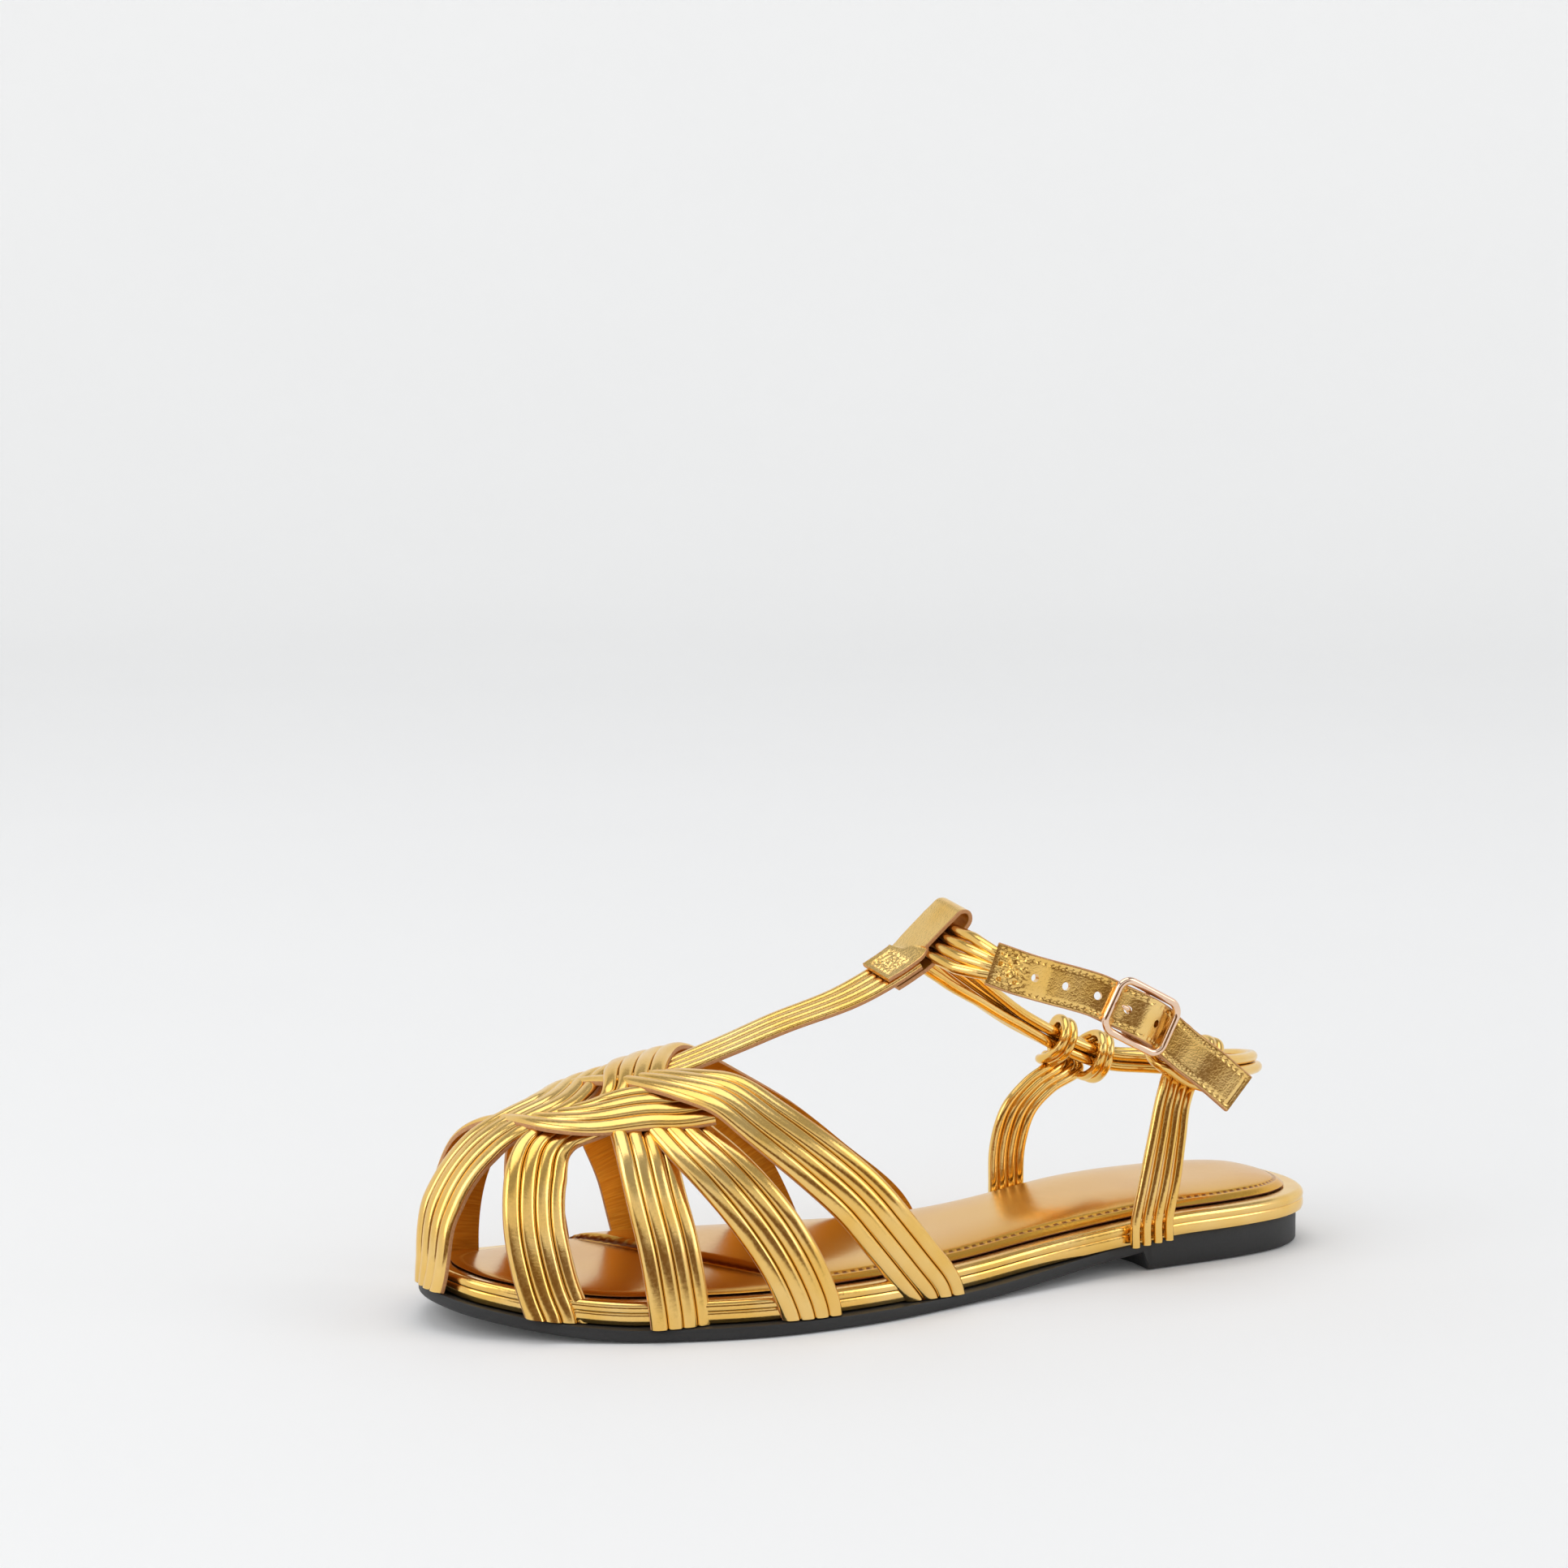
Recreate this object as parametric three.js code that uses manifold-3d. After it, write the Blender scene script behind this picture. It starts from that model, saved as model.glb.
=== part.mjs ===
// Gladiator sandal, left shoe: a flat sole with a low heel, a woven cage of ribbed bands over the
// forefoot, a slim instep strap, and cords round the ankle that are held by two stays and a buckle.
// Millimetres, +X towards the toe, +Y towards the outer side of the foot, +Z up, the sole on z = 0.
import * as THREE from 'three';
import Module from 'manifold-3d';

const wasm = await Module();
wasm.setup();
const { clamp, lerp, smoothstep, degToRad } = THREE.MathUtils;
const vec = (x, y, z) => new THREE.Vector3(x, y, z);

// Driving sizes of the whole shoe.
const soleLength = 254;
const ballWidth = 90;
const braidHeight = 62;
const ankleHeight = 98;
const heelGroundSetback = 30;

// Sizes of the sole.
const heelHeight = 8.6;
const outsoleThickness = 3.2;
const toeSpring = 6.2;
const heelLength = 62;
const heelInset = 2;
const midsoleThickness = 6.2;
const midsoleRound = 1.9;
const padThickness = 3.2;
const sockThickness = 1.3;
const padInset = 5.4;
const padSeamAlong = 187;
const padSeamSlant = 18;

// Sizes of the straps, cords and hardware.
const wall = 2.6;
const bandWidth = 16;
const cordsPerBand = 4;
const instepWidth = 12.4;
const instepThickness = 2.1;
const cordDiameter = 3.1;
const strandDiameter = 2.7;
const loopThickness = 1.1;
const loopWidth = 13;
const loopSlack = 3.4;
const strapWidth = 11.6;
const strapThickness = 2;
const socketDepth = 5;
const socketWall = 0.8;
const holeDiameter = 2.2;
const holePitch = 9;
const holesInFront = 3;
const holesBehind = 1;
const frameLength = 19.6;
const frameWire = 2.1;
const frameCorner = 3.4;
const strapClearance = 0.4;
const barDiameter = 1.8;
const barDepth = 2;
const prongDiameter = 1.3;
const prongReach = 7.6;
const foldThickness = 1;
const gap = 0.3;

// The materials, one finish to each kind of piece.
const finish = (color, roughness, metalness) =>
  new THREE.MeshStandardMaterial({ color, roughness, metalness });
const foil = finish(0xd4a84a, 0.28, 1);
const satin = finish(0xc08a2a, 0.45, 0.4);
const rubber = finish(0x1b1a19, 0.6, 0);
const roseMetal = finish(0xe4c2a8, 0.2, 1);

// Closed meshes and solids

function geometryOf(points, faces) {
  const geometry = new THREE.BufferGeometry();
  const values = points.flatMap((p) => p.toArray());
  geometry.setAttribute('position', new THREE.Float32BufferAttribute(values, 3));
  geometry.setIndex(faces.flat());
  return geometry;
}

function signedVolume(points, faces) {
  return faces.reduce((sum, [a, b, c]) => sum + points[a].dot(points[b].clone().cross(points[c])) / 6, 0);
}

// A manifold solid from points and triangles, turned the right way out.
function solidOf(points, faces) {
  const outward = signedVolume(points, faces) > 0 ? faces : faces.map(([a, b, c]) => [a, c, b]);
  const vertProperties = Float32Array.from(points.flatMap((p) => p.toArray()));
  const triVerts = Uint32Array.from(outward.flat());
  return new wasm.Manifold(new wasm.Mesh({ numProp: 3, vertProperties, triVerts }));
}

function geometryOfSolid(solid) {
  const mesh = solid.getMesh();
  const points = [];
  for (let i = 0; i < mesh.vertProperties.length; i += mesh.numProp) {
    points.push(vec(...mesh.vertProperties.slice(i, i + 3)));
  }
  const faces = [];
  for (let i = 0; i < mesh.triVerts.length; i += 3) {
    faces.push(Array.from(mesh.triVerts.slice(i, i + 3)));
  }
  return geometryOf(points, faces);
}

const fuse = (solids) => solids.reduce((whole, piece) => whole.add(piece));

// The same solid with its corners on a fine grid, so that corners that almost meet become one.
const grid = 1e-3;
function settled(solid) {
  const mesh = solid.getMesh();
  const places = new Map();
  const points = [];
  const merged = [];
  for (let i = 0; i < mesh.vertProperties.length; i += mesh.numProp) {
    const point = vec(...mesh.vertProperties.slice(i, i + 3));
    const key = point.toArray().map((value) => Math.trunc(value / grid)).join();
    if (!places.has(key)) places.set(key, points.push(point) - 1);
    merged.push(places.get(key));
  }
  const faces = [];
  for (let i = 0; i < mesh.triVerts.length; i += 3) {
    const face = Array.from(mesh.triVerts.slice(i, i + 3), (corner) => merged[corner]);
    if (new Set(face).size === 3) faces.push(face);
  }
  return solidOf(points, faces);
}

// A solid without slivers, and without the small sealed pockets that are left between fused strands.
const sliver = 0.03;
const withoutPockets = (solid) =>
  fuse(settled(solid.simplify(sliver)).decompose().filter((shell) => shell.volume() > 0));

// Rings of equally many points joined one after the other, with a fan of triangles over each end.
function loft(rings, closed = false) {
  const count = rings[0].length;
  const points = rings.flat();
  const faces = [];
  const last = closed ? rings.length : rings.length - 1;
  for (let r = 0; r < last; r += 1) {
    const next = (r + 1) % rings.length;
    for (let i = 0; i < count; i += 1) {
      const j = (i + 1) % count;
      const [a, b, c, d] = [r * count + i, r * count + j, next * count + j, next * count + i];
      faces.push([a, b, c], [a, c, d]);
    }
  }
  if (!closed) {
    for (const [start, turned] of [[0, true], [(rings.length - 1) * count, false]]) {
      const middle = points.length;
      const ring = points.slice(start, start + count);
      points.push(ring.reduce((sum, p) => sum.add(p), vec(0, 0, 0)).divideScalar(count));
      for (let i = 0; i < count; i += 1) {
        const [a, b] = [start + i, start + ((i + 1) % count)];
        faces.push(turned ? [middle, b, a] : [middle, a, b]);
      }
    }
  }
  return solidOf(points, faces);
}

const curveThrough = (points, closed = false) => new THREE.CatmullRomCurve3(points, closed, 'centripetal');

// Frames along a curve: its tangent, an outward direction that outwardAt gives, and the way across.
function framesAlong(curve, steps, outwardAt) {
  return Array.from({ length: steps + 1 }, (_, i) => {
    const share = i / steps;
    const place = curve.getPointAt(share);
    const tangent = curve.getTangentAt(share);
    const outward = outwardAt(place, share).clone();
    outward.addScaledVector(tangent, -outward.dot(tangent)).normalize();
    const across = tangent.clone().cross(outward);
    return { share, place, tangent, outward, across };
  });
}

const ringAt = (frame, section) => section.map(([u, v]) =>
  frame.place.clone().addScaledVector(frame.across, u).addScaledVector(frame.outward, v));

function circle(radius, sides, u = 0, v = 0) {
  return Array.from({ length: sides }, (_, i) => {
    const angle = (i / sides) * 2 * Math.PI;
    return [u + radius * Math.cos(angle), v + radius * Math.sin(angle)];
  });
}

// The last

// Plan outline of the sole: share of the length, then the outer and inner side as shares of half
// the ball width.
const outlineRows = [
  { along: 0, outer: 0, inner: 0 },
  { along: 0.016, outer: 0.344, inner: -0.389 },
  { along: 0.055, outer: 0.533, inner: -0.567 },
  { along: 0.118, outer: 0.633, inner: -0.644 },
  { along: 0.236, outer: 0.689, inner: -0.633 },
  { along: 0.354, outer: 0.767, inner: -0.589 },
  { along: 0.472, outer: 0.9, inner: -0.633 },
  { along: 0.591, outer: 1.056, inner: -0.767 },
  { along: 0.709, outer: 1.078, inner: -0.911 },
  { along: 0.807, outer: 0.944, inner: -0.978 },
  { along: 0.898, outer: 0.7, inner: -0.867 },
  { along: 0.961, outer: 0.433, inner: -0.611 },
  { along: 0.988, outer: 0.244, inner: -0.389 },
  { along: 1, outer: -0.084, inner: -0.084 },
];

const halfBall = ballWidth / 2;
const outline = (() => {
  const at = (row, side) => vec(row.along * soleLength, row[side] * halfBall, 0);
  const outer = outlineRows.map((row) => at(row, 'outer'));
  const inner = outlineRows.slice(1, -1).reverse().map((row) => at(row, 'inner'));
  return curveThrough([...outer, ...inner], true);
})();
const toeShare = (outlineRows.length - 1) / (2 * outlineRows.length - 2);

// The point and the outward normal of the outline at a distance from the heel, on one side.
function edge(along, outer) {
  let [low, high] = outer ? [0, toeShare] : [1, toeShare];
  for (let i = 0; i < 26; i += 1) {
    const middle = (low + high) / 2;
    if (outline.getPoint(middle).x < along) low = middle;
    else high = middle;
  }
  const point = outline.getPoint(low);
  const tangent = outline.getTangent(low);
  return { point, normal: vec(tangent.y, -tangent.x, 0).negate().normalize() };
}

// Heights of the outsole's top and underside, and of what lies on it, at a distance from the heel.
const waistEnd = 0.51 * soleLength;
const springStart = 0.84 * soleLength;
const springRise = (along) =>
  toeSpring * clamp((along - springStart) / (soleLength - springStart), 0, 1) ** 1.7;
const outsoleTop = (along) =>
  lerp(heelHeight, outsoleThickness, smoothstep(along, 0.75 * heelLength, waistEnd)) + springRise(along);
const breastSlope = 1.4;
const outsoleBottom = (along) =>
  (along < heelLength + breastSlope / 2 ? 0 : outsoleTop(along) - outsoleThickness);
const midsoleBottom = (along) => outsoleTop(along) + gap;
const midsoleTop = (along) => outsoleTop(along) + midsoleThickness;
const ledge = (along) => lerp(0, wall + gap, smoothstep(along, heelLength, 0.42 * soleLength));
const soleInset = (along) => lerp(heelInset, 0, smoothstep(along, heelLength, 0.42 * soleLength));

const stations = [
  ...[0.006, 0.02, 0.045, 0.085, 0.14, 0.19].map((share) => share * soleLength),
  heelLength,
  heelLength + breastSlope,
  ...[0.3, 0.36, 0.42, 0.48, 0.54, 0.61, 0.68, 0.74, 0.8, 0.85, 0.895, 0.93, 0.958, 0.98, 0.994]
    .map((share) => share * soleLength),
];

// A solid between levels stacked from the bottom up. Each level has an inset from the outline and a
// height, both worked out from the distance to the heel. skew slides the outer side back and the
// inner side forward, so that a crosswise seam can slant.
function soleSolid(levels, { from = 0, skew = () => 0, places = stations } = {}) {
  const sides = { outer: [], inner: [] };
  const heelPoint = { point: vec(0, 0, 0), normal: vec(-1, 0, 0) };
  const toePoint = { point: outline.getPoint(toeShare), normal: vec(1, 0, 0) };
  for (const along of places.filter((place) => place > from)) {
    sides.outer.push(edge(along - skew(along), true));
    sides.inner.push(edge(along + skew(along), false));
  }
  const loop = [heelPoint, ...sides.outer, toePoint, ...sides.inner.slice().reverse()];
  const count = loop.length;
  const points = levels.flatMap(({ inset, height }) => loop.map(({ point, normal }) => {
    const moved = point.clone().addScaledVector(normal, -inset(point.x));
    return vec(moved.x, moved.y, height(moved.x, moved.y));
  }));
  const faces = [];
  for (let level = 0; level < levels.length - 1; level += 1) {
    for (let i = 0; i < count; i += 1) {
      const j = (i + 1) % count;
      const [low, high] = [level * count, (level + 1) * count];
      faces.push([low + i, low + j, high + j], [low + i, high + j, high + i]);
    }
  }
  const strip = (start, turned) => {
    for (let i = 0; i < count / 2; i += 1) {
      const corners = [i, i + 1, (count - i - 1) % count, (count - i) % count].map((k) => start + k);
      const [a, b, c, d] = turned ? corners.reverse() : corners;
      for (const face of [[a, b, c], [a, c, d]]) if (new Set(face).size === 3) faces.push(face);
    }
  };
  strip(0, true);
  strip((levels.length - 1) * count, false);
  return solidOf(points, faces);
}

const level = (inset, height) => ({ inset, height });

// The black sole: top face, wall with a softened foot, and the heel block in front of its breast.
const outsole = soleSolid([
  level((x) => soleInset(x) + 0.8, outsoleBottom),
  level(soleInset, (x) => outsoleBottom(x) + 0.7),
  level(soleInset, outsoleTop),
]);

// The gold wrapped board: its rim is rounded, and it stands over the heel and inside the bands.
const midsole = soleSolid([
  level((x) => ledge(x) + 0.9, midsoleBottom),
  level(ledge, (x) => midsoleBottom(x) + 1.6),
  level(ledge, (x) => midsoleTop(x) - midsoleRound),
  level((x) => ledge(x) + 0.6 * midsoleRound, (x) => midsoleTop(x) - 0.4 * midsoleRound),
  level((x) => ledge(x) + 1.6 * midsoleRound, midsoleTop),
]);

// The footbed: padded behind a slanted seam, flat in front of it.
const padSkew = (along) => padSeamSlant * Math.exp(-(((along - padSeamAlong) / 55) ** 2));
const insole = (() => {
  const seamGap = 3;
  const plain = stations.filter((place) => Math.abs(place - padSeamAlong) > 2 * seamGap);
  const places = [...plain, padSeamAlong - seamGap / 2, padSeamAlong + seamGap / 2].sort((a, b) => a - b);
  const seamAt = (y) => padSeamAlong - padSeamSlant * (y / (0.9 * halfBall));
  const thickness = (x, y) =>
    lerp(padThickness, sockThickness, smoothstep(x, seamAt(y) - seamGap / 2, seamAt(y) + seamGap / 2));
  const base = (x) => midsoleTop(x) + gap;
  const inset = (extra) => (x) => ledge(x) + padInset + extra;
  return soleSolid([
    level(inset(0), (x) => base(x)),
    level(inset(0), (x, y) => base(x) + 0.5 * thickness(x, y)),
    level(inset(1.6), (x, y) => base(x) + 0.86 * thickness(x, y)),
    level(inset(6), (x, y) => base(x) + thickness(x, y)),
  ], { skew: padSkew, places });
})();

// Height of the ridge of the last, as a share of the height at the braid.
const ridgeRows = [
  { along: 0.39, height: 1.4 },
  { along: 0.47, height: 1.3 },
  { along: 0.54, height: 1.235 },
  { along: 0.614, height: 1.15 },
  { along: 0.67, height: 1.09 },
  { along: 0.724, height: 1.035 },
  { along: 0.748, height: 1.0 },
  { along: 0.78, height: 0.965 },
  { along: 0.819, height: 0.915 },
  { along: 0.843, height: 0.885 },
  { along: 0.874, height: 0.845 },
  { along: 0.906, height: 0.795 },
  { along: 0.937, height: 0.725 },
  { along: 0.965, height: 0.61 },
  { along: 0.985, height: 0.44 },
  { along: 1, height: 0.17 },
];

function tableValue(rows, key, column, value) {
  const next = rows.findIndex((row) => row[key] >= value);
  if (next === 0) return rows[0][column];
  if (next < 0) return rows[rows.length - 1][column];
  const [a, b] = [rows[next - 1], rows[next]];
  return lerp(a[column], b[column], (value - a[key]) / (b[key] - a[key]));
}

const ridgeShift = -0.067 * halfBall;
const sideRoundness = 2.4;
const topRoundness = 2.2;

// A point of the last: the share of the length, and the angle from the outer edge of the sole (0)
// over the ridge (90) to the inner edge (180). The section is a superellipse.
function lastPoint(along, angle) {
  const x = along * soleLength;
  const insetHalf = wall / 2;
  const sides = x >= soleLength ? [outline.getPoint(toeShare), outline.getPoint(toeShare)]
    : [edge(x, true).point, edge(x, false).point];
  const middle = (sides[0].y + sides[1].y) / 2;
  const half = Math.max((sides[0].y - sides[1].y) / 2 - insetHalf, 0);
  const [c, s] = [Math.cos(degToRad(angle)), Math.sin(degToRad(angle))];
  const bottom = outsoleTop(x);
  const ridge = Math.max(tableValue(ridgeRows, 'along', 'height', along) * braidHeight, bottom);
  const y = middle + half * Math.sign(c) * Math.abs(c) ** (2 / sideRoundness) + ridgeShift * s;
  return vec(x, y, lerp(bottom, ridge, Math.abs(s) ** (2 / topRoundness)));
}

// Outward from a spine line inside the foot, level with the place on the low sides.
const spineToe = 0.913;
const spineHeight = 0.42;
function outwardOfLast(place) {
  const x = Math.min(place.x, spineToe * soleLength);
  const side = edge(x, true).point.y + edge(x, false).point.y;
  const z = Math.min(place.z, spineHeight * braidHeight);
  return place.clone().sub(vec(x, side / 4, z)).normalize();
}

// The woven cage

// The ribbed section of a band: a flat lining below, round cords side by side above, and the whole
// bent to the curve of the foot across its width.
function bandSection(width, cords, thickness, bend) {
  const pitch = width / cords;
  const valley = 0.5 * thickness;
  const top = [];
  for (let i = 0; i < cords; i += 1) {
    const middle = width / 2 - pitch * (i + 0.5);
    top.push([middle + 0.26 * pitch, thickness / 2], [middle - 0.26 * pitch, thickness / 2]);
    if (i < cords - 1) top.push([middle - pitch / 2, valley - thickness / 2 + 0.15 * thickness]);
  }
  const low = -thickness / 2;
  const points = [[-width / 2, low], [0, low], [width / 2, low],
    [width / 2, low + 0.45 * thickness], ...top, [-width / 2, low + 0.45 * thickness]];
  return points.map(([u, v]) => [u, v - (u * u) / (2 * bend)]);
}

// Each band's middle line: share of the length, angle round the last, and lift in walls. Bands are
// named by the order of their feet from the toe; the braid runs outer over inner, then back.
const over = 0.44;
const under = -0.44;
const bandRows = {
  toeFromOuter: [
    [1, 0, 0], [0.996, 60, 0], [0.985, 82, 0], [0.966, 86, 0], [0.94, 86, 0.2], [0.917, 85, over],
    [0.892, 85, over], [0.868, 87, 0.3], [0.843, 92, 0.2], [0.815, 101, over], [0.787, 109, 0.2],
    [0.76, 113, under], [0.735, 114, under],
  ],
  toeFromInner: [
    [0.935, 180, 0], [0.945, 165, 0], [0.95, 146, 0], [0.944, 124, 0], [0.928, 106, under],
    [0.905, 90, under], [0.881, 73, 0.1], [0.845, 70, over], [0.819, 68, over], [0.793, 67, 0.1],
    [0.767, 65, under], [0.735, 63, under],
  ],
  secondFromOuter: [
    [0.906, 0, 0], [0.92, 6, 0], [0.924, 17, 0], [0.923, 28, 0], [0.918, 41, 0], [0.908, 54, 0],
    [0.895, 64, -0.1], [0.87, 69, under], [0.84, 70, under], [0.808, 74, 0], [0.778, 89, over],
    [0.75, 101, over], [0.718, 114, over], [0.68, 127, 0.1], [0.63, 141, 0], [0.57, 154, 0],
    [0.51, 166, 0], [0.45, 176, 0], [0.435, 180, 0],
  ],
  secondFromInner: [
    [0.815, 180, 0], [0.825, 165, 0], [0.832, 148, 0], [0.83, 132, 0], [0.823, 118, under],
    [0.808, 106, under], [0.787, 94, under], [0.766, 81, 0], [0.744, 69, over], [0.72, 60, over],
    [0.697, 49.5, 0.1], [0.671, 40, 0], [0.642, 31, 0], [0.611, 22.5, 0], [0.58, 13.5, 0],
    [0.547, 5.5, 0], [0.52, 0, 0],
  ],
  thirdFromOuter: [
    [0.801, 0, 0], [0.805, 10, 0], [0.808, 20, 0], [0.812, 33, 0], [0.811, 48, -0.1], [0.806, 60, -0.6],
    [0.8, 74, -0.75],
  ],
  thirdFromInner: [
    [0.705, 180, 0], [0.716, 170, 0], [0.73, 158, 0], [0.75, 145, 0], [0.768, 132, -0.1],
    [0.782, 119, -0.6], [0.79, 107, -0.75],
  ],
  fourthFromOuter: [
    [0.669, 0, 0], [0.681, 6.5, 0], [0.699, 15, 0], [0.724, 26, 0], [0.748, 38, -0.1], [0.766, 50, -0.6],
    [0.777, 66, -0.9],
  ],
  fourthFromInner: [
    [0.563, 180, 0], [0.58, 172, 0], [0.605, 162, 0], [0.64, 150, 0], [0.68, 138, -0.1],
    [0.715, 127, -0.6], [0.745, 112, -0.9],
  ],
};

const stepLength = 15;
const bandBend = 42;
const instepBend = 200;
const footReach = 4;

function bandPlaces(rows) {
  const places = rows.map(([along, angle, lift]) => {
    const place = lastPoint(along, angle);
    return place.addScaledVector(outwardOfLast(place), lift * wall);
  });
  places.unshift(places[0].clone().add(vec(0, 0, -footReach)));
  const last = rows[rows.length - 1];
  if (last[1] === 0 || last[1] === 180) {
    places.push(places[places.length - 1].clone().add(vec(0, 0, -footReach)));
  }
  return places;
}

function bandSolid(places, width, thickness, bend, outwardAt) {
  const curve = curveThrough(places);
  const steps = Math.round(curve.getLength() / stepLength);
  const section = bandSection(width, cordsPerBand, thickness, bend);
  return loft(framesAlong(curve, steps, outwardAt).map((frame) => ringAt(frame, section)));
}

// The slim strap from under the braid to the instep loop, as shares of length, half ball width and
// ankle height. It leans a little to the outer side.
const instepRows = [
  [0.79, -0.07, 0.575],
  [0.748, -0.06, 0.603],
  [0.714, -0.055, 0.628],
  [0.669, -0.05, 0.664],
  [0.614, -0.045, 0.71],
  [0.539, -0.045, 0.763],
  [0.496, -0.045, 0.81],
  [0.4635, -0.045, 0.855],
];
const instepRoll = degToRad(13);
const shoePoint = ([along, side, height]) => vec(along * soleLength, side * halfBall, height * ankleHeight);
const rolledUp = (share) => vec(0, Math.sin(instepRoll * share), Math.cos(instepRoll * share));

const soleBlock = soleSolid([
  level(() => -3 * wall, () => -footReach),
  level(() => -3 * wall, (x) => outsoleTop(x) + gap),
  level(soleInset, (x) => outsoleTop(x) + gap),
]);
const midsoleRoom = soleSolid([
  level((x) => ledge(x) - gap, (x) => outsoleTop(x) - gap),
  level((x) => ledge(x) - gap, (x) => midsoleTop(x) - midsoleRound),
  level((x) => ledge(x) + 0.6 * midsoleRound - gap, (x) => midsoleTop(x) - 0.4 * midsoleRound + gap),
  level((x) => ledge(x) + 1.6 * midsoleRound - gap, (x) => midsoleTop(x) + gap),
]);

const bandSolids = Object.values(bandRows).map((rows) =>
  bandSolid(bandPlaces(rows), bandWidth, wall, bandBend, outwardOfLast));
const instepPlaces = instepRows.map(shoePoint);
const instepStrap = bandSolid(instepPlaces, instepWidth, instepThickness, instepBend,
  (_, share) => rolledUp(share));
const cutByTheSole = (solid) => solid.subtract(soleBlock).subtract(midsoleRoom);
const upper = withoutPockets(cutByTheSole(fuse([...bandSolids, instepStrap])));

// Round and flat strips

// A round rod of one radius along a line of points, without twist.
function rod(points, radius, sides, closed = false) {
  const count = points.length;
  const neighbour = (i) => points[closed ? (i + count) % count : clamp(i, 0, count - 1)];
  const tangentAt = (i) => neighbour(i + 1).clone().sub(neighbour(i - 1)).normalize();
  let outward = Math.abs(tangentAt(0).z) < 0.8 ? vec(0, 0, 1) : vec(1, 0, 0);
  const rings = points.map((place, i) => {
    const tangent = tangentAt(i);
    outward = outward.clone().addScaledVector(tangent, -outward.dot(tangent)).normalize();
    return ringAt({ place, outward, across: tangent.clone().cross(outward) }, circle(radius, sides));
  });
  return loft(rings, closed);
}

// Frames through rows that each have a place, a way out and other values, which run evenly between
// the rows. A longer span gets more frames.
function framesThrough(rows, step) {
  const curve = curveThrough(rows.map((row) => row.place));
  const spans = rows.length - 1;
  const parts = rows.slice(1).flatMap((row, i) => {
    const count = Math.max(1, Math.round(row.place.distanceTo(rows[i].place) / step));
    return Array.from({ length: count }, (_, k) => [i, k / count]);
  });
  return [...parts, [spans - 1, 1]].map(([row, part]) => {
    const [from, to] = [rows[row], rows[row + 1]];
    const place = curve.getPoint((row + part) / spans);
    const tangent = curve.getTangent((row + part) / spans);
    const outward = from.out.clone().lerp(to.out, part);
    outward.addScaledVector(tangent, -outward.dot(tangent)).normalize();
    const mixed = (key) => lerp(from[key], to[key], part);
    return { place, tangent, outward, across: tangent.clone().cross(outward), mixed };
  });
}

// A flat strip, whose rows also have a width and a thickness. Its edges can be eased.
function strip(rows, step, eased = 0) {
  const rings = framesThrough(rows, step).map((frame) => {
    const [u, v] = [frame.mixed('width') / 2, frame.mixed('thickness') / 2];
    const corners = eased > 0
      ? [[u - eased, v], [u, v - eased], [u, eased - v], [u - eased, -v]]
      : [[u, v], [u, -v]];
    const turned = corners.map(([a, b]) => [-a, -b]);
    return ringAt(frame, [...corners, ...turned]);
  });
  return loft(rings);
}

// The buckle

// Its centre and its ways: back along the strap, out of the ankle, and down across the strap.
const buckleCentre = shoePoint([0.27, 0.789, 0.713]);
const buckleBack = vec(-0.885, 0, -0.466).normalize();
const buckleOut = vec(0, 1, 0);
const buckleDown = buckleBack.clone().cross(buckleOut);
const atBuckle = (back, out, down = 0) => buckleCentre.clone()
  .addScaledVector(buckleBack, back)
  .addScaledVector(buckleOut, out)
  .addScaledVector(buckleDown, down);

const railShift = strapWidth / 2 + strapClearance + frameWire / 2;
const endShift = frameLength / 2;
const bar = rod([
  atBuckle(0, 0, -railShift),
  atBuckle(0, -0.8 * barDepth, -railShift),
  atBuckle(0, -barDepth, -railShift + 0.4 * barDiameter),
  atBuckle(0, -barDepth, railShift - 0.4 * barDiameter),
  atBuckle(0, -0.8 * barDepth, railShift),
  atBuckle(0, 0, railShift),
], barDiameter / 2, 8);
const cornerAngles = [0, 30, 60, 90];
const framePoints = [[1, 1, 0], [-1, 1, 90], [-1, -1, 180], [1, -1, 270]].flatMap(([back, down, turn]) =>
  cornerAngles.map((angle) => {
    const [c, s] = [Math.cos(degToRad(turn + angle)), Math.sin(degToRad(turn + angle))];
    return atBuckle(back * (endShift - frameCorner) + c * frameCorner, 0,
      down * (railShift - frameCorner) + s * frameCorner);
  }));
const buckleFrame = rod(framePoints, frameWire / 2, 8, true).add(bar);

// The prong: an eye round the bar, a shank that rises through a hole, and a tip before the end bar.
const eyeRadius = barDiameter / 2 + gap + prongDiameter / 2;
const crest = -barDepth + eyeRadius + prongDiameter / 2 + gap + strapThickness / 2;
const dip = -frameWire / 2 - strapClearance - gap / 2 - strapThickness / 2;
const holeShift = -4.8;
const eyeSteps = 10;
const eyePoints = Array.from({ length: eyeSteps }, (_, i) => {
  const angle = (i / eyeSteps) * 2 * Math.PI;
  return atBuckle(eyeRadius * Math.cos(angle), -barDepth + eyeRadius * Math.sin(angle));
});
const tipRise = crest - strapThickness / 2 + prongDiameter;
const shankPoints = curveThrough([
  atBuckle(-0.75 * eyeRadius, -barDepth - 0.66 * eyeRadius),
  atBuckle(0.67 * holeShift, -barDepth + 0.1),
  atBuckle(holeShift, 0.25 * tipRise),
  atBuckle(1.25 * holeShift, 0.85 * tipRise),
  atBuckle(-prongReach, tipRise),
]).getPoints(7);
const prongOf = (radius) => rod(eyePoints, radius, 5, true).add(rod(shankPoints, radius, 5));
const prong = prongOf(prongDiameter / 2);
const prongRoom = prongOf(prongDiameter / 2 + gap);

// The billet

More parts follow.
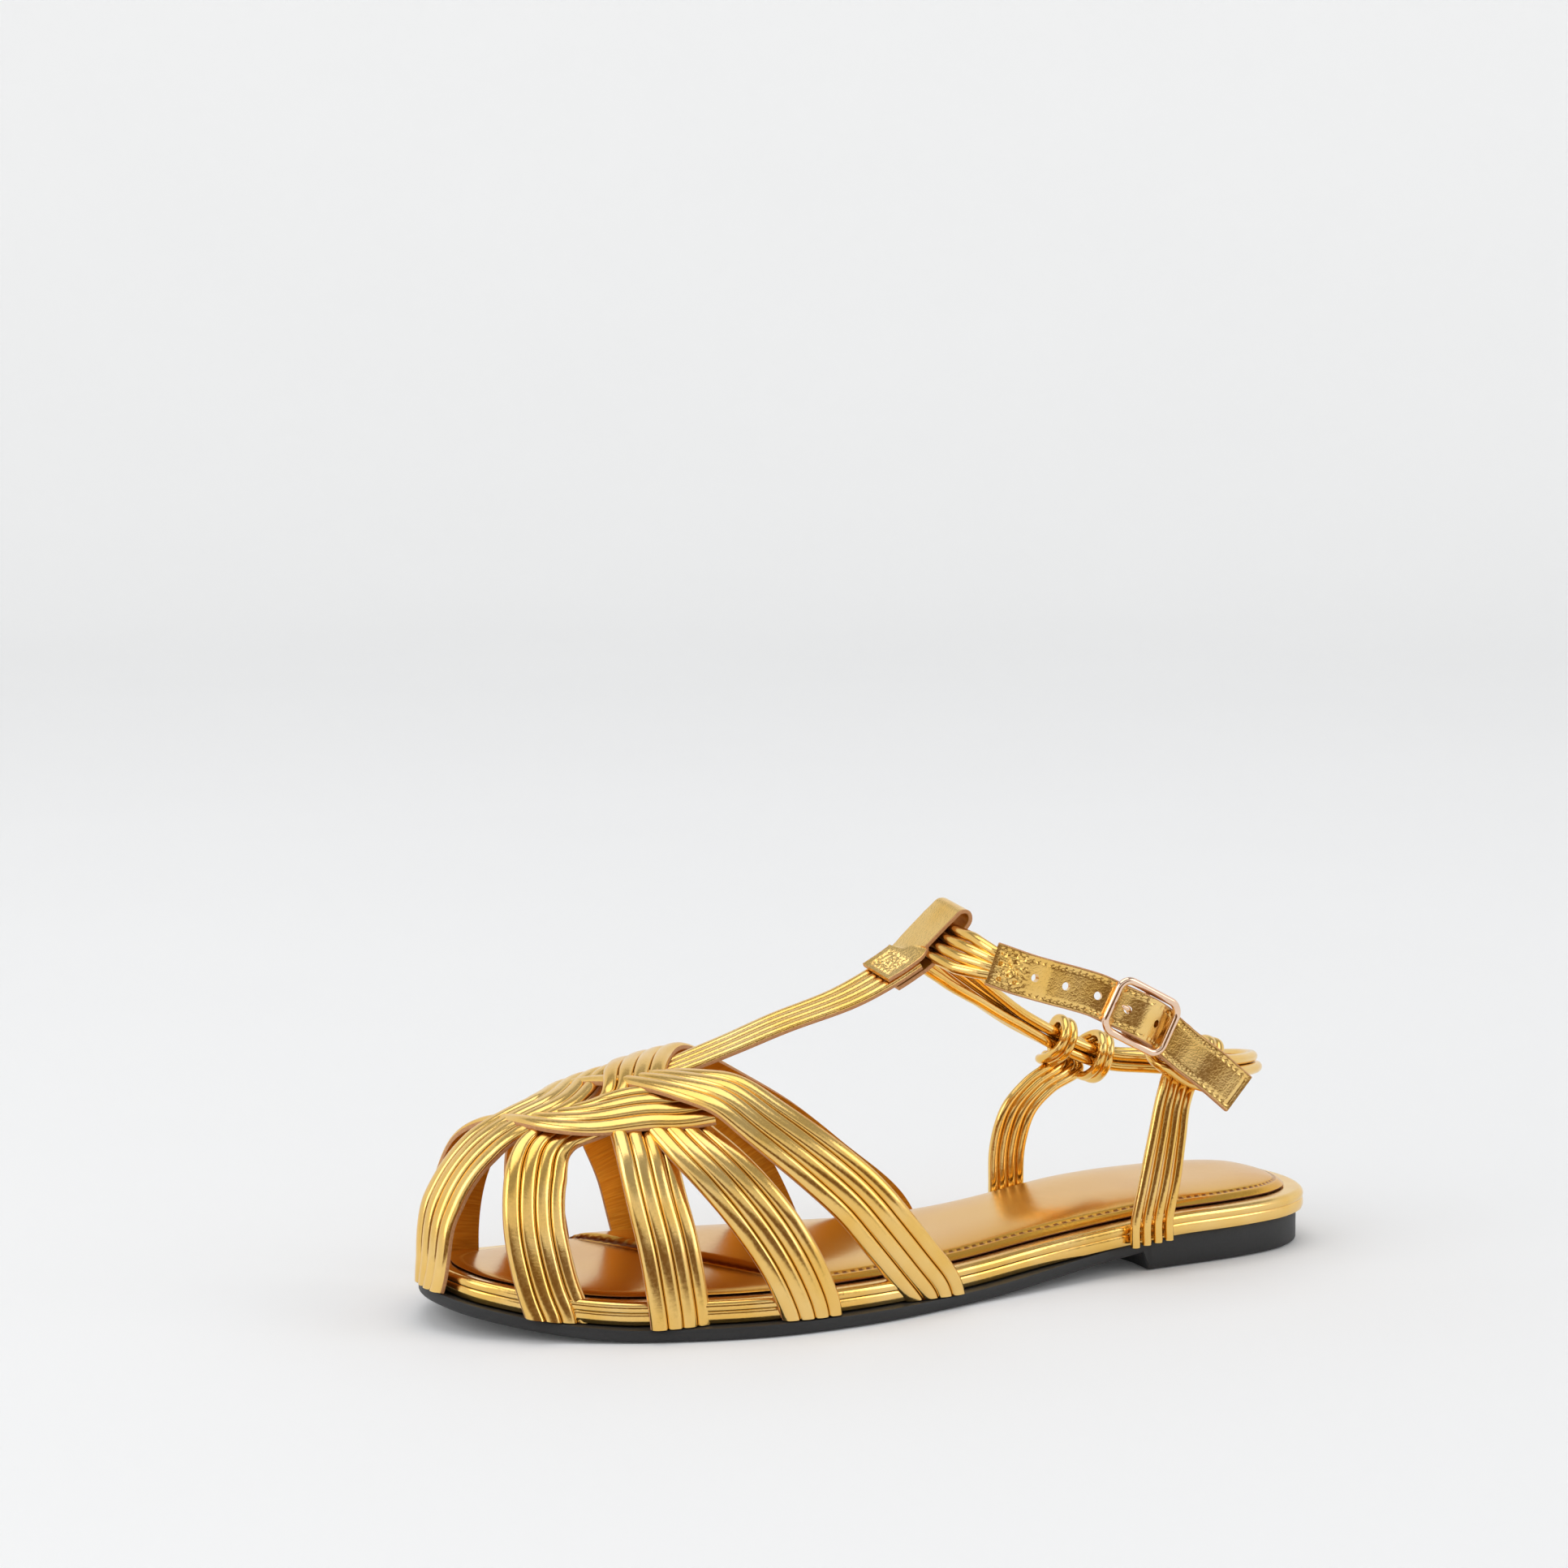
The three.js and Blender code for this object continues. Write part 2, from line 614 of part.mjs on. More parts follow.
const socketThickness = cordDiameter + 2 * gap + 2 * socketWall;
const flatRow = (place, thickness = strapThickness, out = buckleOut) =>
  ({ place, out, thickness, width: strapWidth });
const billetRows = [
  flatRow(shoePoint([0.417, 0.489, 0.865]), socketThickness),
  flatRow(shoePoint([0.389, 0.578, 0.836]), socketThickness),
  flatRow(shoePoint([0.364, 0.62, 0.815])),
  flatRow(shoePoint([0.336, 0.665, 0.793])),
  flatRow(shoePoint([0.315, 0.705, 0.774])),
  flatRow(atBuckle(-endShift, dip)),
  flatRow(atBuckle(-0.8 * endShift, lerp(dip, crest, 0.06))),
  flatRow(atBuckle(-0.45 * endShift, lerp(dip, crest, 0.62))),
  flatRow(atBuckle(0, crest)),
  flatRow(atBuckle(0.45 * endShift, lerp(dip, crest, 0.62))),
  flatRow(atBuckle(0.8 * endShift, lerp(dip, crest, 0.06))),
  flatRow(atBuckle(endShift, dip, 0.04 * strapWidth)),
  flatRow(atBuckle(1.6 * endShift, lerp(dip, crest, 0.5), 0.2 * strapWidth)),
  flatRow(atBuckle(2.35 * endShift, 1.6 * strapThickness, 0.36 * strapWidth)),
  flatRow(atBuckle(3.45 * endShift, 2.75 * strapThickness, 0.6 * strapWidth)),
];
const billetStep = 7;
const billetEasing = 0.4;
const billetCurve = curveThrough(billetRows.map((row) => row.place));

// The share of the billet's length that is nearest to a place.
function shareNearest(place) {
  const shares = Array.from({ length: 401 }, (_, i) => i / 400);
  const away = (share) => billetCurve.getPointAt(share).distanceTo(place);
  return shares.reduce((best, share) => (away(share) < away(best) ? share : best));
}
const prongShare = shareNearest(atBuckle(holeShift, lerp(dip, crest, 0.7)));
const billetHoles = Array.from({ length: holesInFront + 1 + holesBehind }, (_, i) => {
  const share = prongShare + ((i - holesInFront) * holePitch) / billetCurve.getLength();
  const place = billetCurve.getPointAt(share);
  const tangent = billetCurve.getTangentAt(share);
  const outward = buckleOut.clone().addScaledVector(tangent, -tangent.dot(buckleOut)).normalize();
  const end = (side) => place.clone().addScaledVector(outward, side * socketThickness);
  return rod([end(-1), end(1)], holeDiameter / 2, 8);
});

// The cords

const cordPitch = 1.02 * cordDiameter;
const tightPitch = 0.66 * cordDiameter;
const rowHalf = 1.5 * cordPitch + cordDiameter / 2;
const ankleMiddle = 0.26 * soleLength;

// Out of the ankle at a place, tilted up by a share.
function outOfAnkle(place, tilt) {
  const level = vec(place.x - ankleMiddle, place.y, 0);
  return level.setZ(tilt * level.length()).normalize();
}

const cordRow = (place, flat, tilt = 0, pitch = cordPitch) =>
  ({ place, out: outOfAnkle(place, tilt), flat, pitch });
const billetMouth = billetRows[0].place;
const billetWay = billetRows[1].place.clone().sub(billetMouth).normalize();
const loopCentre = shoePoint([0.4366, -0.044, 0.91]);
const loopRoll = degToRad(8);
const loopAcross = vec(0, Math.cos(loopRoll), -Math.sin(loopRoll));
const straightHalf = loopWidth / 2 + 2;
const inLoop = (side) => loopCentre.clone().addScaledVector(loopAcross, side * straightHalf);
const outerHitch = shoePoint([0.194, 0.593, 0.582]);
const innerHitch = shoePoint([0.197, -0.673, 0.508]);
const strapEndDrop = dip - strapThickness / 2 - gap - socketThickness / 2;
const mouthShift = 1.03 * endShift;
const cordRows = [
  cordRow(billetMouth.clone().addScaledVector(billetWay, socketDepth), 1, 0.3, tightPitch),
  cordRow(billetMouth, 1, 0.3, tightPitch),
  cordRow(shoePoint([0.4331, 0.331, 0.886]), 1, 0.7),
  cordRow(inLoop(1), 1, 1),
  cordRow(inLoop(0), 1, 1),
  cordRow(inLoop(-1), 1, 1),
  cordRow(shoePoint([0.42, -0.364, 0.869]), 0.8, 0.8),
  cordRow(shoePoint([0.386, -0.467, 0.796]), 0.5, 0.4),
  cordRow(shoePoint([0.331, -0.589, 0.704]), 0.2, 0.2),
  cordRow(shoePoint([0.272, -0.655, 0.608]), 0),
  cordRow(innerHitch, 0),
  cordRow(shoePoint([0.157, -0.644, 0.472]), 0),
  cordRow(shoePoint([0.118, -0.556, 0.464]), 0.2),
  cordRow(shoePoint([0.083, -0.311, 0.469]), 0.4),
  cordRow(shoePoint([0.069, 0, 0.49]), 0.5),
  cordRow(shoePoint([0.081, 0.289, 0.51]), 0.4),
  cordRow(shoePoint([0.114, 0.455, 0.522]), 0.2),
  cordRow(shoePoint([0.152, 0.556, 0.54]), 0),
  cordRow(outerHitch, 0),
  cordRow(shoePoint([0.224, 0.622, 0.633]), 0),
  cordRow(atBuckle(mouthShift, strapEndDrop), 1, 0, tightPitch),
  cordRow(atBuckle(mouthShift - 0.8 * socketDepth, strapEndDrop), 1, 0, tightPitch),
];
const cordStep = 9;
const cordFrames = framesThrough(cordRows, cordStep);

// The four cords lie in a row where they are flat, and the outer two fold in where they bunch.
function cordOffsets(frame) {
  const [flat, pitch] = [frame.mixed('flat'), frame.mixed('pitch')];
  const fold = (1 - flat) * degToRad(90);
  const rise = ((1 - flat) * pitch) / 2;
  const [u, v] = [pitch / 2 + pitch * Math.cos(fold), rise - pitch * Math.sin(fold)];
  return [[-u, v], [-pitch / 2, rise], [pitch / 2, rise], [u, v]];
}
const ankleCords = withoutPockets(fuse([0, 1, 2, 3].map((cord) =>
  loft(cordFrames.map((frame) =>
    ringAt(frame, circle(cordDiameter / 2, 6, ...cordOffsets(frame)[cord])))))));

// The room for a row of cord ends, a gap wider and longer than the cords.
function cordRoom(frames, past) {
  const rings = frames.map((frame) => {
    const [u, v] = [1.5 * frame.mixed('pitch') + cordDiameter / 2 + gap, cordDiameter / 2 + gap];
    return ringAt(frame, [[u, v], [u, -v], [-u, -v], [-u, v]]);
  });
  const longer = rings[0].map((point) => point.clone().addScaledVector(frames[0].tangent, past));
  return loft([longer, ...rings]);
}
const billetRoom = cordRoom(cordFrames.slice(0, 3), -gap);
const strapRoom = cordRoom(cordFrames.slice(-3).reverse(), gap);
const billet = [...billetHoles, billetRoom, prongRoom]
  .reduce((solid, cut) => solid.subtract(cut), strip(billetRows, billetStep, billetEasing));

// The short strap: it folds round the bar, with a slot for the prong, and takes the other cord ends.
const foldRing = (radius, half) => rod([
  atBuckle(0, -barDepth, -half),
  atBuckle(0, -barDepth, half),
], radius, 12);
const foldOuter = barDiameter / 2 + gap + foldThickness;
const buckleTail = strip([
  flatRow(atBuckle(0.4 * foldOuter, -barDepth - foldOuter + foldThickness), 2 * foldThickness),
  flatRow(atBuckle(0.4 * endShift, lerp(-barDepth - foldOuter + foldThickness, strapEndDrop, 0.62)),
    1.3 * strapThickness),
  flatRow(atBuckle(0.62 * endShift, strapEndDrop), socketThickness),
  flatRow(atBuckle(mouthShift, strapEndDrop), socketThickness),
], 3);
const slotHalf = prongDiameter / 2 + gap;
const prongSlot = (() => {
  const [front, back] = [-foldOuter - 1, eyeRadius + slotHalf];
  const corners = [[front, 1], [back, 1], [back, -1], [front, -1]];
  const ring = (down) => corners.map(([along, side]) =>
    atBuckle(along, -barDepth + side * (eyeRadius + slotHalf + gap), down));
  return loft([ring(-slotHalf), ring(slotHalf)]);
})();
const buckleStrap = foldRing(foldOuter, strapWidth / 2 - sliver).add(buckleTail)
  .subtract(foldRing(barDiameter / 2 + gap, strapWidth))
  .subtract(prongSlot)
  .subtract(strapRoom);

// The loop

const instepCurve = curveThrough(instepPlaces);
const wrapShift = instepThickness / 2 + gap + loopThickness / 2;
const cordShift = cordDiameter / 2 + gap + loopThickness / 2;
const loopOut = outOfAnkle(loopCentre, 1);
loopOut.addScaledVector(loopAcross, -loopOut.dot(loopAcross)).normalize();
const loopUp = loopOut.clone().cross(loopAcross);

function besideStrap(backFromEnd, side) {
  const share = 1 - Math.max(backFromEnd, 0) / instepCurve.getLength();
  const tangent = instepCurve.getTangentAt(share);
  const out = rolledUp(share).addScaledVector(tangent, -tangent.dot(rolledUp(share))).normalize();
  const place = instepCurve.getPointAt(share)
    .addScaledVector(tangent, Math.max(-backFromEnd, 0))
    .addScaledVector(out, side * wrapShift);
  return { place, out: out.multiplyScalar(Math.sign(side)), width: loopWidth, thickness: loopThickness };
}
function besideCords(up, out, way) {
  const place = loopCentre.clone().addScaledVector(loopUp, up).addScaledVector(loopOut, out);
  return { place, out: way, width: loopWidth, thickness: loopThickness };
}
const loopTop = rowHalf + gap + loopThickness / 2 + loopSlack;
const loopIn = loopOut.clone().negate();
const instepLoop = strip([
  besideStrap(10.4, 1),
  besideStrap(5, 1),
  besideStrap(0, 1.15),
  besideCords(-0.9 * rowHalf, 1.15 * cordShift, loopOut),
  besideCords(0.6 * loopTop, cordShift, loopOut),
  besideCords(0.88 * loopTop, 0.85 * cordShift, loopOut.clone().add(loopUp)),
  besideCords(loopTop, 0.1 * cordShift, loopUp),
  besideCords(0.9 * loopTop, -0.7 * cordShift, loopIn.clone().add(loopUp)),
  besideCords(0.6 * loopTop, -cordShift, loopIn),
  besideCords(-0.82 * rowHalf, -cordShift, loopIn),
  besideStrap(-0.4, -1),
  besideStrap(5, -1),
  besideStrap(8.6, -1),
], 4);

// The stays

const strandRadius = strandDiameter / 2;
const bundleRadius = cordPitch / Math.SQRT2 + cordDiameter / 2;
const ringSlack = 0.4;
const ringRadius = bundleRadius + gap + ringSlack + strandRadius;
const strandPitch = 1.03 * strandDiameter;
const legPitch = 1.03 * strandDiameter;
const barRadius = ringRadius + 0.72 * strandDiameter;

const cordCurve = curveThrough(cordRows.map((row) => row.place));
const cordLength = cordCurve.getLength();

// Four strands from the sole to a hitch on the cords. Two loops lie side by side. Each runs up one
// leg, over the cords, down inside, out below as a bar across the legs, and back the same way.
function stay({ hitch, outer, feetAlong, footPitch, legRows }) {
  const sign = outer ? 1 : -1;
  const shares = Array.from({ length: 801 }, (_, i) => i / 800);
  const away = (share) => cordCurve.getPointAt(share).distanceTo(hitch);
  const hitchShare = shares.reduce((best, share) => (away(share) < away(best) ? share : best));

  // A place round the cords: the angle from straight out (0) over the top (90), the radius, and
  // the shift towards the toe along the cords.
  const at = (angle, radius, shift) => {
    const share = hitchShare + (sign * shift) / cordLength;
    const way = cordCurve.getTangentAt(share);
    const out = vec(0, sign, 0).addScaledVector(way, -sign * way.y).normalize();
    const up = way.clone().cross(out);
    if (up.z < 0) up.negate();
    return cordCurve.getPointAt(share)
      .addScaledVector(out, radius * Math.cos(degToRad(angle)))
      .addScaledVector(up, radius * Math.sin(degToRad(angle)));
  };
  const way = at(0, 0, 1).sub(at(0, 0, -1)).normalize();
  const leg = (offset) => {
    const along = feetAlong + offset * footPitch;
    const { point, normal } = edge(along, outer);
    const foot = point.addScaledVector(normal, gap + strandRadius).setZ(outsoleTop(along) + gap);
    const rise = foot.clone().setZ(midsoleTop(along));
    const free = legRows.map((row, i) => {
      const part = (i + 1) / (legRows.length + 1);
      const direction = vec(1, 0, 0).lerp(way, part);
      return shoePoint(row).addScaledVector(direction, offset * lerp(footPitch, legPitch, part));
    });
    return [foot, rise, ...free];
  };
  const loops = [{ order: 1.5, reach: 3, bar: -58 }, { order: 0.5, reach: 2, bar: -38 }];
  return fuse(loops.map(({ order, reach, bar: barAngle }) => {
    const half = (side) => {
      const near = side * order * legPitch;
      const far = side * reach * strandPitch;
      return [
        ...leg(side * order),
        at(-70, ringRadius, near),
        at(-20, ringRadius, near),
        at(25, ringRadius, lerp(near, far, 0.5)),
        at(70, ringRadius, lerp(near, far, 0.9)),
        at(115, ringRadius, far),
        at(160, ringRadius, far),
        at(205, ringRadius, far),
        at(250, ringRadius, far),
        at(282, lerp(ringRadius, barRadius, 0.5), 0.96 * far),
        at(360 + barAngle, barRadius, 0.8 * far),
      ];
    };
    const points = [...half(1), at(barAngle, 1.04 * barRadius, 0), ...half(-1).reverse()];
    return rod(curveThrough(points).getPoints(Math.round(1.2 * points.length)), strandRadius, 5);
  }));
}
const outerStay = withoutPockets(stay({
  hitch: outerHitch,
  outer: true,
  feetAlong: 0.25 * soleLength,
  footPitch: 1.36 * strandDiameter,
  legRows: [[0.239, 0.722, 0.255], [0.227, 0.69, 0.37], [0.216, 0.66, 0.47]],
}));
const innerStay = withoutPockets(stay({
  hitch: innerHitch,
  outer: false,
  feetAlong: 0.287 * soleLength,
  footPitch: 1.07 * strandDiameter,
  legRows: [[0.285, -0.655, 0.245], [0.272, -0.65, 0.347], [0.244, -0.67, 0.41]],
}));

const sandal = new THREE.Group();
const pieces = [
  ['outsole', outsole, rubber],
  ['midsole', midsole, foil],
  ['insole', insole, satin],
  ['upper', upper, foil],
  ['instep_loop', instepLoop, foil],
  ['ankle_cords', ankleCords, foil],
  ['lateral_stay', outerStay, foil],
  ['medial_stay', innerStay, foil],
  ['billet', billet, foil],
  ['buckle_strap', buckleStrap, foil],
  ['buckle_frame', buckleFrame, roseMetal],
  ['buckle_prong', prong, roseMetal],
];
for (const [name, solid, material] of pieces) {
  const mesh = new THREE.Mesh(geometryOfSolid(solid), material);
  mesh.name = name;
  sandal.add(mesh);
}
sandal.position.x = -heelGroundSetback;

export default sandal;
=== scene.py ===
# %% [markdown]
# # A woven gold sandal
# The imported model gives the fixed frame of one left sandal: its solids, their places and its size.
# The cells below give every piece its real surface: ribbed bands, round cords, crinkled foil, a
# padded footbed, black rubber and a polished buckle. Lengths are worked out in millimetres from the
# back of the heel, and `finished` turns them into metres in the frame of the solids.

import bpy
import numpy as np
from mathutils import Matrix


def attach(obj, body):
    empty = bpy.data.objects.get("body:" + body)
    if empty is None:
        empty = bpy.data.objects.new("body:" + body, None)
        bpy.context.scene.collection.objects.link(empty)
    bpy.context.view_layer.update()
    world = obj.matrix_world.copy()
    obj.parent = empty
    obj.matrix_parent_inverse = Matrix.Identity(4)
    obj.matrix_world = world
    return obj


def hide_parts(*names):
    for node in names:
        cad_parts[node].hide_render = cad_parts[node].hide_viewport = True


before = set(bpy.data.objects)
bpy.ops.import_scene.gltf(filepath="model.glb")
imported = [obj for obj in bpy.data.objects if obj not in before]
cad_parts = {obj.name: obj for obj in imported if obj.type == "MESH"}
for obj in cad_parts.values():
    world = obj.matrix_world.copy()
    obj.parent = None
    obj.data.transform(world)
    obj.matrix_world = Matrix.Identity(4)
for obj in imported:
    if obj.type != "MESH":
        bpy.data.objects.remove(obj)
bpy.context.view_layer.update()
print("solids:", ", ".join(sorted(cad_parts)))

# %% [markdown]
# The sizes are the named sizes that the solids were drawn from. Most surfaces lie where their solids
# lie. The toe bands and the foot of the second outer band were moved to where the photo shows them.

# %% Sizes of the sandal, in millimetres
SOLE_LENGTH = 254.0
HALF_BALL = 45.0
BRAID_HEIGHT = 62.0
ANKLE_HEIGHT = 98.0
SETBACK = 30.0
HEEL_LENGTH = 62.0
HEEL_HEIGHT = 8.6
OUTSOLE = 3.2
MIDSOLE = 6.2
WALL = 2.6
GAP = 0.3
CORD = 3.1
SEAM_AT = 187.0
SEAM_SLANT = 0.444
STRAND = 2.7
STRAP_WIDTH = 11.6
STRAP = 2.0

# %% [markdown]
# Paths on a sandal are smooth lines through a few known points. A centripetal Catmull-Rom curve goes
# through every point and makes no loops, so it suits straps that turn sharply. It is worked out for
# all spans at once.


# %% Smooth paths
def unit(vectors):
    """Each vector divided by its own length."""
    return vectors / np.maximum(np.linalg.norm(vectors, axis=-1, keepdims=True), 1e-12)


def spline(points, per_span=24, closed=False):
    """Points on the curve and their row numbers. Between rows b and c, with neighbours a and d, it is
    the cubic that leaves b and reaches c with the slopes of the parabolas through the neighbours,
    where the knots lie apart by the square root of each distance."""
    rows = np.asarray(points, float)
    if closed:
        a, b, c, d = np.roll(rows, 1, 0), rows, np.roll(rows, -1, 0), np.roll(rows, -2, 0)
    else:
        first, last = 2 * rows[0] - rows[1], 2 * rows[-1] - rows[-2]
        wide = np.vstack([first, rows, last])
        a, b, c, d = wide[:-3], wide[1:-2], wide[2:-1], wide[3:]
    gaps = [np.sqrt(np.linalg.norm(q - p, axis=1))[:, None] for p, q in ((a, b), (b, c), (c, d))]
    near, here, far = (np.maximum(gap, 1e-4) for gap in gaps)
    leave = ((b - a) / near - (c - a) / (near + here) + (c - b) / here) * here
    reach = ((c - b) / here - (d - b) / (here + far) + (d - c) / far) * here
    t = (np.arange(per_span) / per_span)[None, :, None]
    b, c, leave, reach = (x[:, None, :] for x in (b, c, leave, reach))
    curve = (2 * t**3 - 3 * t**2 + 1) * b + (t**3 - 2 * t**2 + t) * leave
    curve = curve + (3 * t**2 - 2 * t**3) * c + (t**3 - t**2) * reach
    curve = curve.reshape(-1, 3)
    at = np.arange(len(curve)) / per_span
    return (curve, at) if closed else (np.vstack([curve, rows[-1]]), np.append(at, at[-1] + 1 / per_span))


def lengths(path):
    """Distance from the start, measured along the path."""
    return np.concatenate([[0], np.cumsum(np.linalg.norm(np.diff(path, axis=0), axis=1))])


def mixed(at, places, values):
    """The values at each place, run evenly in between, one column at a time."""
    values = np.asarray(values, float)
    columns = values.reshape(len(values), -1)
    out = np.stack([np.interp(at, places, columns[:, k]) for k in range(columns.shape[1])], -1)
    return out.reshape(np.shape(at) + values.shape[1:])


def evenly(path, step, *carried):
    """The path again with points about a step apart, and what is carried along it."""
    far = lengths(path)
    at = np.linspace(0, far[-1], max(3, int(far[-1] / step) + 1))
    return [mixed(at, far, item) for item in (path, *carried)]


def smoothstep(x, low, high):
    """0 before low, 1 after high, and 3t2 - 2t3 between."""
    t = np.clip((x - low) / (high - low), 0, 1)
    return t * t * (3 - 2 * t)


# %% [markdown]
# Each finished piece is one mesh whose object sits at the origin. A grid of points becomes quads, and
# the piece keeps a UV map in metres: u runs along it and v across or round it. Materials draw ribs,
# wrinkles and stitches in these coordinates.


# %% From grids to meshes
def signed_volume(points, quads):
    """Six times the volume that the faces close: the sum of a . (b x c) over their triangles."""
    a, b, c, d = (points[quads[:, k]] for k in range(4))
    return np.sum(a * np.cross(b, c)) + np.sum(a * np.cross(c, d))


def tube_grid(rings, along, around, closed=False, part=None):
    """Quads round a stack of rings, with a fan of quads over each open end. along gives u of each ring,
    around gives v of each point and of the first one again, part numbers the strips round a ring."""
    n, k, _ = rings.shape
    i, j = np.meshgrid(np.arange(n if closed else n - 1), np.arange(k), indexing="ij")
    ii, jj = (i + 1) % n, (j + 1) % k
    quads = np.stack([i * k + j, i * k + jj, ii * k + jj, ii * k + j], -1).reshape(-1, 4)
    u = np.append(along, along[-1] + 1)
    uv = np.stack([np.stack([u[i], around[j]], -1), np.stack([u[i], around[j + 1]], -1),
                   np.stack([u[i + 1], around[j + 1]], -1), np.stack([u[i + 1], around[j]], -1)], 2)
    uv = uv.reshape(-1, 4, 2)
    strips = np.zeros(k, int) if part is None else np.asarray(part)
    kinds = np.broadcast_to(strips[None, :], i.shape).reshape(-1)
    points = rings.reshape(-1, 3)
    if not closed:
        pairs = np.arange(0, k - 1, 2)
        for start, turned in ((0, True), ((n - 1) * k, False)):
            middle = len(points)
            points = np.vstack([points, rings.reshape(-1, 3)[start:start + k].mean(0)])
            fan = np.stack([np.full(len(pairs), middle), start + pairs, start + pairs + 1,
                            start + (pairs + 2) % k], 1)
            fan = fan[:, ::-1] if turned else fan
            quads = np.vstack([quads, fan])
            row = 0 if turned else n - 1
            uv = np.vstack([uv, np.broadcast_to([u[row], 0.0], (len(pairs), 4, 2))])
            kinds = np.append(kinds, np.full(len(pairs), strips.max()))
    return points, quads, uv, kinds


def finished(name, node, parts, materials, crease=40):
    """One object from grids of points, quads, UV and material numbers, in metres and facing outwards."""
    points, quads, uvs, kinds, base = [], [], [], [], 0
    for p, q, uv, kind in parts:
        if signed_volume(p, q) < 0:
            q, uv = q[:, ::-1], uv[:, ::-1]
        points.append(p)
        quads.append(q + base)
        uvs.append(uv)
        kinds.append(kind)
        base += len(p)
    points = (np.vstack(points) - [SETBACK, 0, 0]) * 0.001
    quads, uvs, kinds = np.vstack(quads), np.vstack(uvs), np.concatenate(kinds)
    mesh = bpy.data.meshes.new(name)
    mesh.vertices.add(len(points))
    mesh.vertices.foreach_set("co", points.ravel())
    mesh.loops.add(quads.size)
    mesh.loops.foreach_set("vertex_index", quads.ravel())
    mesh.polygons.add(len(quads))
    mesh.polygons.foreach_set("loop_start", np.arange(0, quads.size, 4))
    mesh.polygons.foreach_set("material_index", kinds.astype(np.int32))
    mesh.polygons.foreach_set("use_smooth", np.ones(len(quads), bool))
    mesh.update(calc_edges=True)
    mesh.uv_layers.new(name="UVMap").data.foreach_set("uv", (uvs * 0.001).ravel())
    mesh.validate()
    mesh.set_sharp_from_angle(angle=np.radians(crease))
    for material in materials:
        mesh.materials.append(material)
    piece = bpy.data.objects.new(name, mesh)
    bpy.context.scene.collection.objects.link(piece)
    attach(piece, "root")
    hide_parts(node)
    print(f"{name}: {len(points)} points, {len(quads)} quads")
    return piece


# %% [markdown]
# A strap or cord is a section that is carried along a path. At each point of the path three directions
# are needed: forwards, outwards from the foot, and across. Sections are given as (across, outward).


# %% Sections carried along paths
def directions(path, outward, closed=False):
    """Forward by differences of neighbours, outward squared up to it, and across as their product."""
    if closed:
        forward = unit(np.roll(path, -1, 0) - np.roll(path, 1, 0))
    else:
        forward = unit(np.gradient(path, axis=0))
    outward = unit(outward - np.sum(outward * forward, -1, keepdims=True) * forward)
    return forward, outward, np.cross(forward, outward)


def carried(path, outward, section):
    """Every section point: path + across times its first number + outward times its second."""
    _, out, across = directions(path, outward)
    section = np.broadcast_to(section, (len(path),) + np.shape(section)[-2:])
    return path[:, None] + across[:, None] * section[..., :1] + out[:, None] * section[..., 1:]


def untwisted(path, closed=False):
    """Outward directions that turn as little as they can: each is the one before, squared up again."""
    forward, _, _ = directions(path, np.tile([0.0, 0.0, 1.0], (len(path), 1)), closed)
    outward = np.empty_like(path)
    current = np.array([0.0, 0.0, 1.0]) if abs(forward[0, 2]) < 0.8 else np.array([1.0, 0.0, 0.0])
    for i, way in enumerate(forward):
        current = unit(current - np.dot(current, way) * way)
        outward[i] = current
    return forward, outward, np.cross(forward, outward)


def tube(path, radius, sides=16, closed=False, rounded=False):
    """A round cord: points at path + radius times (cos, sin) of the angle. Its ends can be rounded off
    with a quarter circle of shrinking rings."""
    path = np.asarray(path, float)
    radius = np.broadcast_to(np.asarray(radius, float), (len(path),)).copy()
    forward, out, across = untwisted(path, closed)
    if rounded and not closed:
        angle = np.radians([15, 35, 60, 80])
        for end, sign in ((0, -1), (-1, 1)):
            cap = path[end] + sign * forward[end] * radius[end] * np.sin(angle)[:, None]
            order = slice(None, None, -1) if end == 0 else slice(None)

            def stack(old, new, first=end == 0):
                return np.vstack([new, old] if first else [old, new])

            path = stack(path, cap[order])
            size = (radius[end] * np.cos(angle))[order]
            radius = np.concatenate([size, radius]) if end == 0 else np.concatenate([radius, size])
            repeat = np.ones((4, 1))
            out = stack(out, repeat * out[end])
            across = stack(across, repeat * across[end])
            forward = stack(forward, repeat * forward[end])
    angle = np.arange(sides) / sides * 2 * np.pi
    rings = path[:, None] + radius[:, None, None] * (
        np.cos(angle)[None, :, None] * across[:, None] + np.sin(angle)[None, :, None] * out[:, None])
    around = np.append(angle, 2 * np.pi) * radius.mean()
    along = lengths(path)
    return tube_grid(rings, along, around, closed)


# %% [markdown]
# The last is the wooden foot that a shoe is made on. Its plan is the outline of the sole, its section
# is a superellipse from the outer edge of the sole over the ridge to the inner edge. The woven bands
# lie on it.

# %% Outline of the sole and the last
OUTLINE = np.array([
    [0, 0, 0], [0.016, 0.344, -0.389], [0.055, 0.533, -0.567], [0.118, 0.633, -0.644],
    [0.236, 0.689, -0.633], [0.354, 0.767, -0.589], [0.472, 0.9, -0.633], [0.591, 1.056, -0.767],
    [0.709, 1.078, -0.911], [0.807, 0.944, -0.978], [0.898, 0.7, -0.867], [0.961, 0.433, -0.611],
    [0.988, 0.244, -0.389], [1, -0.084, -0.084]])
outer_rows = np.stack([OUTLINE[:, 0] * SOLE_LENGTH, OUTLINE[:, 1] * HALF_BALL, 0 * OUTLINE[:, 0]], 1)
inner_rows = np.stack([OUTLINE[:, 0] * SOLE_LENGTH, OUTLINE[:, 2] * HALF_BALL, 0 * OUTLINE[:, 0]], 1)
